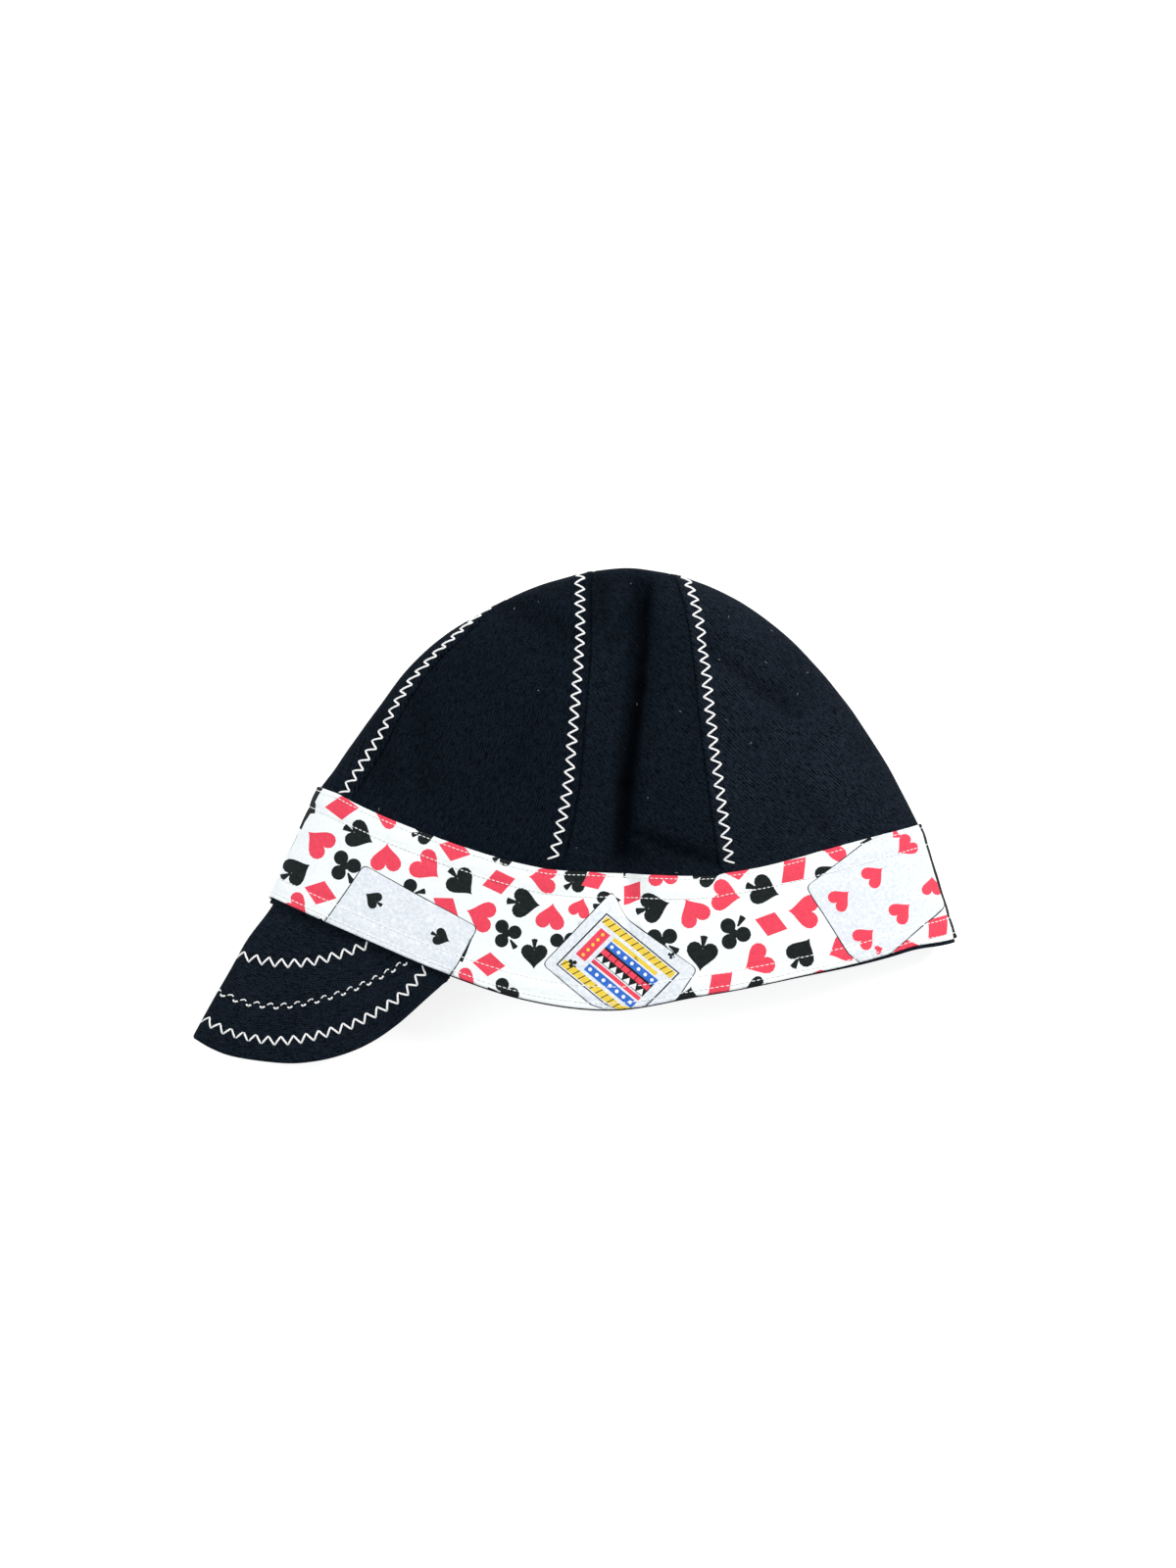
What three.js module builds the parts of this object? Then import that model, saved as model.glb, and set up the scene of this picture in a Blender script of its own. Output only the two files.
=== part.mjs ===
// A welding cap of soft cotton, lying on its side as it lies on a table.
// Its left side is up, its front is towards -X and the top of its crown towards +Y. Millimetres, +Z up.
// Six gores make the crown and run down to the rim, a printed band is sewn round their lower part,
// and a short soft bill, folded in half with the cap, comes out from under the rim at the front.
import * as THREE from "three";

// Lengths of the cap as it lies flat
const RIM_LENGTH = 272; // front corner to back corner of the rim, along X
const BAND_TOP_LENGTH = 238; // the same at the top edge of the band
const FRONT_SETBACK = 20; // how far the band's top front corner lies behind the rim's
const BACK_DROP = 15; // how much lower the back corners lie than the front ones
const BAND_RISE = 45; // from the rim's corners up to the band's top corners
const RIM_SAG = 37; // how far the rim bows down between its corners
const BAND_TOP_SAG = 28; // how far the band's top edge bows down
const CROWN_RISE = 95; // from the band's top corners up to the top fold
const LOWER_TUCK = 3; // how far the underside's rim lies back from the upper one

// Heights of the cloth above the table
const FOLD_HEIGHT = 13; // the fold line that runs round the outline
const RIM_LIFT = 28; // the upper rim above the fold line
const BAND_TOP_LIFT = 31; // the band's upper top edge above the fold line
const CROWN_BULGE = 4.5; // fullness of the crown just above the band

// Walls and clearances
const CROWN_WALL = 1.0;
const BAND_WALL = 1.0;
const BILL_WALL = 2.2;
const LAYER_GAP = 0.3; // between the band and the crown under it, and across a seam
const BILL_GAP = 0.6; // between the crown and the bill's tucked edge
const CROWN_SHOWS = 0.8; // how far the gores show below the band at the rim
const TIP_GAP_DEG = 1.5; // the gores stop this far short of the apex

// The bill
const BILL_REACH = 61; // along its fold line, from the rim to the tip
const BILL_HALF_WIDTH = 77; // from the fold line to its back corner
const BILL_LEAN_DEG = 29.5; // the fold line's lean from -Y towards the front
const BILL_TUCK = 8; // hidden inside the rim
const BILL_TIP_HEIGHT = 8; // height of the fold line at the tip
const BILL_LEAST_REACH = 1.5; // at its back corner
const BILL_SETTLES = 22; // distance from the rim at which its underside has come down to the table
const BILL_SWELL = 2.2; // how far the fold line swings out past the rim it comes from

// How the round cap is laid over: the apex has slid round the top fold to the underside
const APEX_SLIDE = 0.7; // radians, about the cap's long axis
const APEX_FORWARD = 0.05; // towards the front, as a share of the crown's half length
const EDGE_ROLL = 3.4; // how quickly the underside turns from the fold line to the table
const CROWN_SETTLES_DEG = 25; // above the band, where the underside has come down to the table

// The outline of the crown from the band's front corner over the top to its back corner, in even steps.
// along is a share of BAND_TOP_LENGTH, up of CROWN_RISE above the line between those corners.
const OUTLINE = [
  { along: 0, up: 0 },
  { along: 0.079, up: 0.287 },
  { along: 0.164, up: 0.571 },
  { along: 0.275, up: 0.786 },
  { along: 0.395, up: 0.936 },
  { along: 0.53, up: 1 },
  { along: 0.657, up: 0.94 },
  { along: 0.77, up: 0.775 },
  { along: 0.862, up: 0.549 },
  { along: 0.938, up: 0.286 },
  { along: 1, up: 0 },
];

// The bow of the rim, as shares of RIM_SAG at even steps from front to back
const RIM_BOW = [0, 0.345, 0.68, 0.93, 0.985, 0.785, 0.58, 0.33, 0];

// The six seams: their place round the band in degrees from the front fold over the upper side, and how
// far they sway on their way up, in one wave, two waves and so on. columns is the number of faces across
// the gore that starts at the seam.
const SEAMS = [
  { at: 25.5, sways: [15, 2, -5], gore: "crown_panel_left_front", columns: 11 },
  { at: 78.6, sways: [-1, 2.3], gore: "crown_panel_left_middle", columns: 16 },
  { at: 109.6, sways: [-3], gore: "crown_panel_left_back", columns: 15 },
  { at: 192.3, sways: [], gore: "crown_panel_right_back", columns: 10 },
  { at: 252.8, sways: [], gore: "crown_panel_right_middle", columns: 7 },
  { at: 294.2, sways: [], gore: "crown_panel_front", columns: 16 },
];
const BAND_ROWS = 4;
const CROWN_ROWS = 15;

// The dents that the cloth has fallen into on its upper side, each along a line. along is a share of
// BAND_TOP_LENGTH and up of CROWN_RISE, both from the band's front corner; depth and width are millimetres.
const DENTS = [
  { from: { along: 0.53, up: 0.82 }, to: { along: 0.51, up: 0.3 }, depth: 7, width: 8 },
  { from: { along: 0.51, up: 0.3 }, to: { along: 0.503, up: -0.42 }, depth: 7, width: 8 },
  { from: { along: 0.53, up: -0.19 }, to: { along: 0.65, up: -0.32 }, depth: 3.5, width: 7 },
  { from: { along: 0.46, up: 0.82 }, to: { along: 0.49, up: 0.5 }, depth: 2.5, width: 7 },
  { from: { along: 0.19, up: 0.42 }, to: { along: 0.17, up: 0 }, depth: 3, width: 13 },
  { from: { along: 0.29, up: 0.72 }, to: { along: 0.42, up: 0.56 }, depth: 2, width: 9 },
  { from: { along: 0.66, up: 0.58 }, to: { along: 0.8, up: 0.32 }, depth: 2, width: 10 },
];
const DENT_FADE = 0.3; // the dents die out towards the fold line
const DENT_BLEND = 4; // how sharply the deeper of two dents takes over where they meet

// The outer edge of the half bill. across is a share of BILL_HALF_WIDTH, reach of BILL_REACH.
const BILL_EDGE = [
  { across: 0, reach: 1 },
  { across: 0.13, reach: 1.01 },
  { across: 0.26, reach: 0.985 },
  { across: 0.475, reach: 0.876 },
  { across: 0.604, reach: 0.776 },
  { across: 0.72, reach: 0.641 },
  { across: 0.82, reach: 0.474 },
  { across: 0.9, reach: 0.263 },
  { across: 0.962, reach: 0.012 },
  { across: 1, reach: -0.14 },
];
const BILL_COLUMNS = 14; // on each half
const BILL_ROWS = 7;

const rad = THREE.MathUtils.degToRad;
const lerp = THREE.MathUtils.lerp;
const smooth = (t) => THREE.MathUtils.smoothstep(t, 0, 1);

// A smooth value through the entries of a list, at share t of the way along it.
function through(list, t) {
  const last = list.length - 1;
  const spot = THREE.MathUtils.clamp(t, 0, 1) * last;
  const i = Math.min(Math.floor(spot), last - 1);
  const f = spot - i;
  const at = (k) =>
    k < 0 ? 2 * list[0] - list[1] : k > last ? 2 * list[last] - list[last - 1] : list[k];
  const [a, b, c, d] = [at(i - 1), at(i), at(i + 1), at(i + 2)];
  const cubic = 3 * (b - c) + d - a;
  return b + 0.5 * f * (c - a + f * (2 * a - 5 * b + 4 * c - d + f * cubic));
}

const outlineAlong = OUTLINE.map((row) => row.along);
const outlineUp = OUTLINE.map((row) => row.up);

// A point of the crown's outline, at share t from the front corner over the top to the back corner.
function outlineAt(t) {
  const along = through(outlineAlong, t);
  return {
    x: FRONT_SETBACK + along * BAND_TOP_LENGTH,
    y: BAND_RISE - along * BACK_DROP + through(outlineUp, t) * CROWN_RISE,
  };
}

// The height of the underside below the fold line, where side runs from 0 at the fold to -1.
function rolledUnder(side, drop) {
  return drop * Math.sin(Math.min(Math.PI / 2, EDGE_ROLL * -side));
}

// How much the dents lower the upper side at x, y.
function dentAt(x, y, side) {
  let blended = 0;
  for (const { from, to, depth, width } of DENTS) {
    const ax = FRONT_SETBACK + from.along * BAND_TOP_LENGTH;
    const ay = BAND_RISE + from.up * CROWN_RISE;
    const dx = FRONT_SETBACK + to.along * BAND_TOP_LENGTH - ax;
    const dy = BAND_RISE + to.up * CROWN_RISE - ay;
    const t = THREE.MathUtils.clamp(((x - ax) * dx + (y - ay) * dy) / (dx * dx + dy * dy), 0, 1);
    const away = Math.hypot(x - ax - t * dx, y - ay - t * dy) / width;
    blended += Math.pow(depth * Math.exp(-away * away), DENT_BLEND);
  }
  return Math.pow(blended, 1 / DENT_BLEND) * smooth(side / DENT_FADE);
}

const UNDER_BAND = BAND_WALL + LAYER_GAP;

// The band's part of the outer face of the crown. turn goes round from the front fold over the upper
// side, and level is 0 at the rim and 1 at the band's top edge.
function bandPoint(turn, level) {
  const back = (1 - Math.cos(turn)) / 2;
  const side = Math.sin(turn);
  const front = FRONT_SETBACK * level;
  const x = front + back * lerp(RIM_LENGTH, BAND_TOP_LENGTH, level);
  const bow = lerp(RIM_SAG * through(RIM_BOW, back), BAND_TOP_SAG * side * side, level);
  const tuck = side < 0 ? -side * LOWER_TUCK * (1 - level) : 0;
  const y = BAND_RISE * level - BACK_DROP * back - bow + tuck;
  const z =
    side >= 0
      ? FOLD_HEIGHT + lerp(RIM_LIFT, BAND_TOP_LIFT, level) * side - dentAt(x, y, side)
      : FOLD_HEIGHT - rolledUnder(side, FOLD_HEIGHT - UNDER_BAND);
  return new THREE.Vector3(x, y, z);
}

// The crown above the band. It is a round dome, described by turn and climb, that was slid round its
// long axis so that the apex lies on the underside, and then laid flat inside the outline.
function crownPoint(turn, climb) {
  const high = Math.sin(climb);
  const forward = -Math.cos(climb) * Math.cos(turn) - APEX_FORWARD * high * high;
  const round = Math.sqrt(1 - forward * forward);
  const before = Math.atan2(high, Math.cos(climb) * Math.sin(turn));
  const after = before + APEX_SLIDE * Math.sin(before);
  const top = round * Math.sin(after);
  const side = round * Math.cos(after);
  const ring = Math.acos(THREE.MathUtils.clamp(top, -1, 1));
  const front = outlineAt(0.5 - ring / Math.PI);
  const back = outlineAt(0.5 + ring / Math.PI);
  const share = ring < 1e-6 ? 0.5 : (1 + forward / Math.sin(ring)) / 2;
  const x = lerp(front.x, back.x, share);
  const y = lerp(front.y, back.y, share) - BAND_TOP_SAG * side * side;
  let z = FOLD_HEIGHT;
  if (side >= 0) {
    z += BAND_TOP_LIFT * side + CROWN_BULGE * 2 * side * top - dentAt(x, y, side);
  } else {
    const settled = smooth(climb / rad(CROWN_SETTLES_DEG));
    z -= rolledUnder(side, FOLD_HEIGHT - UNDER_BAND * (1 - settled));
  }
  return new THREE.Vector3(x, y, z);
}

// The outer face of the crown all the way: level 0 is the rim, 1 the band's top edge and 2 the apex.
function capPoint(turn, level) {
  return level <= 1 ? bandPoint(turn, level) : crownPoint(turn, ((level - 1) * Math.PI) / 2);
}

// The bill's face: level 0 is the rim, 1 the edge tucked inside the rim and -1 the bill's outer edge.
const foldDown = { x: -Math.sin(rad(BILL_LEAN_DEG)), y: -Math.cos(rad(BILL_LEAN_DEG)) };
const foldAcross = { x: -foldDown.y, y: foldDown.x };
const BILL_INSET = CROWN_WALL + BILL_GAP;

function billEdgeReach(across) {
  const last = BILL_EDGE.length - 1;
  let i = BILL_EDGE.findIndex((row) => row.across > across) - 1;
  if (i < 0) i = last - 1;
  const span = BILL_EDGE[i + 1].across - BILL_EDGE[i].across;
  const f = Math.min(1, (across - BILL_EDGE[i].across) / span);
  return BILL_REACH * lerp(BILL_EDGE[i].reach, BILL_EDGE[i + 1].reach, f);
}

function billPoint(turn, level) {
  if (level > 0) return bandPoint(turn, (level * BILL_TUCK) / BAND_RISE);
  const reach = -level;
  const root = bandPoint(turn, 0);
  const side = Math.sin(turn);
  const down = root.x * foldDown.x + root.y * foldDown.y;
  const across = root.x * foldAcross.x + root.y * foldAcross.y;
  const edge = billEdgeReach(Math.max(0, across / BILL_HALF_WIDTH));
  const slid = reach * Math.max(BILL_LEAST_REACH, edge - down);
  const line = lerp(FOLD_HEIGHT, BILL_TIP_HEIGHT, slid / BILL_REACH);
  const settled = smooth(slid / BILL_SETTLES);
  const drop = line - lerp(UNDER_BAND, -BILL_INSET, settled);
  const swell = BILL_SWELL * settled * Math.cos(turn) * Math.cos(turn);
  return new THREE.Vector3(
    root.x + slid * foldDown.x - swell * foldAcross.x,
    root.y + slid * foldDown.y - swell * foldAcross.y,
    side >= 0 ? root.z - FOLD_HEIGHT + line : line - rolledUnder(side, drop),
  );
}

// The outward normal of a face at a place of it, from the points round that place.
function normalOf(face, u, v) {
  const step = 1e-3;
  const alongU = face(u + step, v).sub(face(u - step, v));
  const alongV = face(u, v + step).sub(face(u, v - step));
  return alongU.cross(alongV).normalize();
}

// A wall between two grids of points, grid[column][row], with its edges closed.
function wallBetween(outer, inner, ring) {
  const columns = outer.length;
  const rows = outer[0].length;
  const points = [];
  for (const grid of [outer, inner]) for (const column of grid) points.push(...column);
  const at = (face, i, j) => (face * columns + (i % columns)) * rows + j;
  const index = [];
  const quad = (a, b, c, d) => index.push(a, b, c, a, c, d);
  for (let i = 0; i < (ring ? columns : columns - 1); i++) {
    for (let j = 0; j < rows - 1; j++) {
      quad(at(0, i, j), at(0, i + 1, j), at(0, i + 1, j + 1), at(0, i, j + 1));
      quad(at(1, i, j), at(1, i, j + 1), at(1, i + 1, j + 1), at(1, i + 1, j));
    }
    quad(at(0, i + 1, 0), at(0, i, 0), at(1, i, 0), at(1, i + 1, 0));
    quad(at(0, i, rows - 1), at(0, i + 1, rows - 1), at(1, i + 1, rows - 1), at(1, i, rows - 1));
  }
  if (!ring) {
    const end = columns - 1;
    for (let j = 0; j < rows - 1; j++) {
      quad(at(0, 0, j), at(0, 0, j + 1), at(1, 0, j + 1), at(1, 0, j));
      quad(at(0, end, j + 1), at(0, end, j), at(1, end, j), at(1, end, j + 1));
    }
  }
  const geometry = new THREE.BufferGeometry().setFromPoints(points);
  geometry.setIndex(index);
  geometry.computeVertexNormals();
  return geometry;
}

// A grid of points on a face, moved outwards by raised.
function gridOn(face, us, vs, raised) {
  return us.map((u) =>
    vs.map((v) => face(u, v).addScaledVector(normalOf(face, u, v), raised)),
  );
}

// The grid's first and last columns drawn in, to leave a clearance to the next piece.
function drawnIn(grid, distance) {
  const last = grid.length - 1;
  const pull = (column, next) =>
    column.map((p, j) => p.clone().add(next[j].clone().sub(p).setLength(distance)));
  return grid.map((column, i) => {
    if (i === 0) return pull(column, grid[1]);
    return i === last ? pull(column, grid[last - 1]) : column;
  });
}

const steps = (count, from, to) =>
  Array.from({ length: count + 1 }, (_, i) => lerp(from, to, i / count));

const cap = new THREE.Group();

function addPiece(name, geometry, material) {
  const mesh = new THREE.Mesh(geometry, material);
  mesh.name = name;
  cap.add(mesh);
}

const blackTwill = new THREE.MeshStandardMaterial({ color: 0x10161f, roughness: 0.92, metalness: 0 });
const printedCotton = new THREE.MeshStandardMaterial({ color: 0xeceef0, roughness: 0.85, metalness: 0 });
const billTwill = new THREE.MeshStandardMaterial({ color: 0x10161f, roughness: 0.92, metalness: 0 });

// The six gores of the crown, each from its seam to the next
const bandLevels = steps(BAND_ROWS, 0, 1);
const crownLevels = steps(CROWN_ROWS, 1, 2 - TIP_GAP_DEG / 90).slice(1);
const goreLevels = [-CROWN_SHOWS / BAND_RISE, ...bandLevels.slice(1), ...crownLevels];
function seamTurn({ at, sways }, level) {
  const climbed = Math.max(0, level - 1);
  const swayed = sways.reduce((sum, sway, i) => sum + sway * Math.sin((i + 1) * Math.PI * climbed), 0);
  return rad(at + swayed);
}

SEAMS.forEach((seam, i) => {
  const next = SEAMS[(i + 1) % SEAMS.length];
  const nextSeam = i + 1 < SEAMS.length ? next : { ...next, at: next.at + 360 };
  const goreFace = (across, level) =>
    capPoint(lerp(seamTurn(seam, level), seamTurn(nextSeam, level), across), level);
  const shares = steps(seam.columns, 0, 1);
  const outer = gridOn(goreFace, shares, goreLevels, 0);
  const inner = gridOn(goreFace, shares, goreLevels, -CROWN_WALL);
  const half = LAYER_GAP / 2;
  addPiece(seam.gore, wallBetween(drawnIn(outer, half), drawnIn(inner, half), false), blackTwill);
});

// The band, a ring round the lower part of the gores
const bandTurns = SEAMS.flatMap((seam, i) => {
  const end = i + 1 < SEAMS.length ? SEAMS[i + 1].at : SEAMS[0].at + 360;
  return steps(seam.columns, rad(seam.at), rad(end)).slice(0, -1);
});
const bandInner = gridOn(bandPoint, bandTurns, bandLevels, LAYER_GAP);
const bandOuter = gridOn(bandPoint, bandTurns, bandLevels, LAYER_GAP + BAND_WALL);
addPiece("band", wallBetween(bandOuter, bandInner, true), printedCotton);

// The bill, folded in half at the front. Its columns crowd at the fold and at its back corners.
function turnAtBackCorner() {
  let turn = 0;
  const across = (at) => {
    const root = bandPoint(at, 0);
    return root.x * foldAcross.x + root.y * foldAcross.y;
  };
  while (across(turn) < BILL_HALF_WIDTH) turn += rad(0.25);
  return turn;
}
const corner = turnAtBackCorner();
const crowded = (t) => t - (0.5 * Math.sin(2 * Math.PI * t)) / (2 * Math.PI);
const halfTurns = steps(BILL_COLUMNS, 0, 1).map((t) => corner * crowded(t));
const billTurns = [...halfTurns.slice(1).reverse().map((t) => -t), ...halfTurns];
const billLevels = [...steps(BILL_ROWS, -1, 0), 1];
const billOuter = gridOn(billPoint, billTurns, billLevels, -BILL_INSET);
const billInner = gridOn(billPoint, billTurns, billLevels, -BILL_INSET - BILL_WALL);
addPiece("bill", wallBetween(billOuter, billInner, false), billTwill);

// The origin is on the table, in the middle of the cap's box
const box = new THREE.Box3().setFromObject(cap);
const middle = box.getCenter(new THREE.Vector3());
cap.position.set(-middle.x, -middle.y, -box.min.z);

export default cap;
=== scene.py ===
# %% [markdown]
# # A soft welding cap, lying on its side
# The construction of this cap is already settled: six gores, a band and a bill, each a plain
# solid at its real size. This lesson dresses that frame, so every piece here takes the place of
# one solid and keeps its size. The cap is all cloth, so the work is in the way that cloth lies:
# seams that pucker, a hem that rounds over, a print, and thread that sits on top.

# %% Load the frame
import math
import random
import bpy
import numpy as np
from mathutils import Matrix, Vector, noise
from mathutils.geometry import delaunay_2d_cdt


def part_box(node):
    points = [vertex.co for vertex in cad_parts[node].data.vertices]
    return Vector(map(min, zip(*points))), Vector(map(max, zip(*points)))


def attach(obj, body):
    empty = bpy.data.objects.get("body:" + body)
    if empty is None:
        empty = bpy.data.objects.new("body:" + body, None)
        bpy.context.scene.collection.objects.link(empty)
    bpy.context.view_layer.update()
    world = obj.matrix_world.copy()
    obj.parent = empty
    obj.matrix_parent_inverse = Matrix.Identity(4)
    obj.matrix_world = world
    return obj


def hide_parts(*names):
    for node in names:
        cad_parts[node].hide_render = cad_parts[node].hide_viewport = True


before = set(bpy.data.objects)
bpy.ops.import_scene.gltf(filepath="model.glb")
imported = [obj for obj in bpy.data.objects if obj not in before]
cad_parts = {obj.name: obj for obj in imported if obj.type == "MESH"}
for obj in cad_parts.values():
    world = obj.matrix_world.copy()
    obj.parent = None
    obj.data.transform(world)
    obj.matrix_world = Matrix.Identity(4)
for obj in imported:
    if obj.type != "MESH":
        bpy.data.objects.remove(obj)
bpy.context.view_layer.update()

mm = 0.001

# %% [markdown]
# ## The sizes of the cap
# They are the maker's own measurements, the same that the solids were made from. The cap is laid
# on its side, so the rim is measured flat, from its front corner to its back corner.

# %% Lengths of the cap as it lies flat
RIM_LENGTH = 272 * mm
BAND_TOP_LENGTH = 238 * mm
FRONT_SETBACK = 20 * mm
BACK_DROP = 15 * mm
BAND_RISE = 45 * mm
RIM_SAG = 37 * mm
BAND_TOP_SAG = 28 * mm
CROWN_RISE = 95 * mm
LOWER_TUCK = 3 * mm
FOLD_HEIGHT = 13 * mm
RIM_LIFT = 28 * mm
BAND_TOP_LIFT = 31 * mm
CROWN_BULGE = 4.5 * mm
PIXEL = 0.39 * mm
RIM_FRONT_PX = (276, 919)
CLOTH = 1.0 * mm
LAYER_GAP = 0.3 * mm
BILL_GAP = 0.6 * mm
BILL_THICKNESS = 2.2 * mm
BILL_REACH = 61 * mm
BILL_HALF_WIDTH = 77 * mm
BILL_LEAN = math.radians(29.5)
BILL_TUCK = 8 * mm
BILL_TIP_HEIGHT = 8 * mm
BILL_LEAST_REACH = 1.5 * mm
BILL_SETTLES = 22 * mm
BILL_SWELL = 2.2 * mm
APEX_SLIDE = 0.7
APEX_FORWARD = 0.05
EDGE_ROLL = 3.4
CROWN_SETTLES = math.radians(25)
UNDER_BAND = CLOTH + LAYER_GAP
BILL_INSET = CLOTH + BILL_GAP

# The crown's outline in even steps, as shares of BAND_TOP_LENGTH and CROWN_RISE
OUTLINE_ALONG = [0, 0.079, 0.164, 0.275, 0.395, 0.53, 0.657, 0.77, 0.862, 0.938, 1]
OUTLINE_UP = [0, 0.287, 0.571, 0.786, 0.936, 1, 0.94, 0.775, 0.549, 0.286, 0]
# The bow of the rim in even steps, as shares of RIM_SAG
RIM_BOW = [0, 0.345, 0.68, 0.93, 0.985, 0.785, 0.58, 0.33, 0]
# The bill's edge, as shares of BILL_HALF_WIDTH and BILL_REACH
BILL_ACROSS = [0, 0.13, 0.26, 0.475, 0.604, 0.72, 0.82, 0.9, 0.962, 1]
BILL_DOWN = [1.035, 1.03, 0.995, 0.88, 0.776, 0.641, 0.474, 0.263, 0.012, -0.14]

# %% [markdown]
# ## Where the cloth has dropped
# A soft crown with no head in it sinks into valleys. The deepest runs from the top fold down to
# the band between the two middle seams. Each dent is a line that the cloth hangs along, with a
# depth and a width. The dents are the solids' own. The sharper creases after them are added for
# the looks, and lie where the photograph shows them.

# %% Dents, each from one place to another in shares of BAND_TOP_LENGTH and CROWN_RISE
DENTS = [
    # along, up, to along, to up, depth mm, width mm
    (0.53, 0.82, 0.51, 0.3, 7, 8),
    (0.51, 0.3, 0.503, -0.42, 7, 8),
    (0.53, -0.19, 0.65, -0.32, 3.5, 7),
    (0.46, 0.82, 0.49, 0.5, 2.5, 7),
    (0.19, 0.42, 0.17, 0, 3, 13),
    (0.29, 0.72, 0.42, 0.56, 2, 9),
    (0.66, 0.58, 0.8, 0.32, 2, 10),
]
DENT_FADE = 0.3
DENT_BLEND = 4

# Sharper creases of the crown, as lines of pixels in the photograph: valley depth and width in mm
CREASES = [
    # from, to, depth, width
    ((655, 605), (649, 700), 3.2, 3.4),
    ((649, 700), (638, 800), 3.4, 3.2),
    ((638, 800), (633, 885), 3.4, 3.2),
    ((648, 850), (728, 882), 2.8, 2.2),
    ((645, 868), (684, 886), 2.2, 4.5),
    ((604, 640), (618, 585), 1.4, 5.0),
    ((615, 640), (625, 668), 0.9, 1.8),
    ((628, 655), (652, 612), 1.2, 3.0),
    ((722, 660), (800, 722), 1.3, 3.6),
    ((742, 655), (770, 668), 0.8, 2.2),
    ((500, 610), (590, 652), 1.0, 4.5),
    ((385, 720), (392, 800), 1.2, 6.0),
    ((430, 720), (433, 800), 1.0, 4.5),
    ((812, 800), (850, 862), 0.7, 4.0),
    ((560, 700), (520, 790), 0.6, 5.0),
    ((668, 640), (662, 760), 0.7, 4.0),
]
# The ridge on each side of a crease: its share of the depth, then its place and width in crease widths
RIDGE_SHARE, RIDGE_AWAY, RIDGE_WIDTH = 0.3, 2, 1.1
CREASE_FADE = 9 * mm


# %% Small curves: through a short list, a smooth step, a straight line and a bell
def through(values, share):
    """The value at a share of the way along a list, on a smooth curve through its entries."""
    values = np.asarray(values, float)
    last = len(values) - 1
    ends = ([2 * values[0] - values[1]], values, [2 * values[-1] - values[-2]])
    padded = np.concatenate(ends)
    spot = np.clip(share, 0, 1) * last
    i = np.minimum(np.floor(spot).astype(int), last - 1)
    f = spot - i
    a, b, c, d = padded[i], padded[i + 1], padded[i + 2], padded[i + 3]
    return b + 0.5 * f * (c - a + f * (2 * a - 5 * b + 4 * c - d + f * (3 * (b - c) + d - a)))


def smooth(t):
    t = np.clip(t, 0, 1)
    return t * t * (3 - 2 * t)


def lerp(a, b, t):
    return a + (b - a) * t


def bell(away):
    """1 at 0, falling off on both sides."""
    return np.exp(-away * away)


def unit(vectors):
    return vectors / np.maximum(np.linalg.norm(vectors, axis=-1, keepdims=True), 1e-12)


# %% [markdown]
# ## The shape of the whole cap as one surface
# Every piece of cloth lies on the same shape, so that shape is written once, as a function of
# two numbers: the turn round the cap, from the front fold over the upper side and back round the
# underside, and the level, 0 at the rim, 1 at the band's top edge and 2 at the apex. Pieces that
# share one surface always fit each other, and a seam is only a line on it.

# %% The surface of the cap, for whole arrays of places at once
def outline_at(t):
    along, up = through(OUTLINE_ALONG, t), through(OUTLINE_UP, t)
    return FRONT_SETBACK + along * BAND_TOP_LENGTH, BAND_RISE - along * BACK_DROP + up * CROWN_RISE


def rolled_under(side, drop):
    return drop * np.sin(np.minimum(np.pi / 2, EDGE_ROLL * np.maximum(-side, 0)))


def dent_at(x, y, side):
    blended = np.zeros_like(x)
    for along, up, to_along, to_up, depth, width in DENTS:
        ax, ay = FRONT_SETBACK + along * BAND_TOP_LENGTH, BAND_RISE + up * CROWN_RISE
        dx, dy = (to_along - along) * BAND_TOP_LENGTH, (to_up - up) * CROWN_RISE
        t = np.clip(((x - ax) * dx + (y - ay) * dy) / (dx * dx + dy * dy), 0, 1)
        away = np.hypot(x - ax - t * dx, y - ay - t * dy) / (width * mm)
        blended += (depth * bell(away)) ** DENT_BLEND
    return blended ** (1 / DENT_BLEND) * mm * smooth(side / DENT_FADE)


def band_face(turn, level):
    back, side = (1 - np.cos(turn)) / 2, np.sin(turn)
    x = FRONT_SETBACK * level + back * lerp(RIM_LENGTH, BAND_TOP_LENGTH, level)
    bow = lerp(RIM_SAG * through(RIM_BOW, back), BAND_TOP_SAG * side * side, level)
    tuck = np.maximum(-side, 0) * LOWER_TUCK * (1 - level)
    y = BAND_RISE * level - BACK_DROP * back - bow + tuck
    up = lerp(RIM_LIFT, BAND_TOP_LIFT, level) * side - dent_at(x, y, side)
    down = rolled_under(side, FOLD_HEIGHT - UNDER_BAND)
    return np.stack([x, y, FOLD_HEIGHT + np.where(side >= 0, up, -down)], -1)


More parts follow.
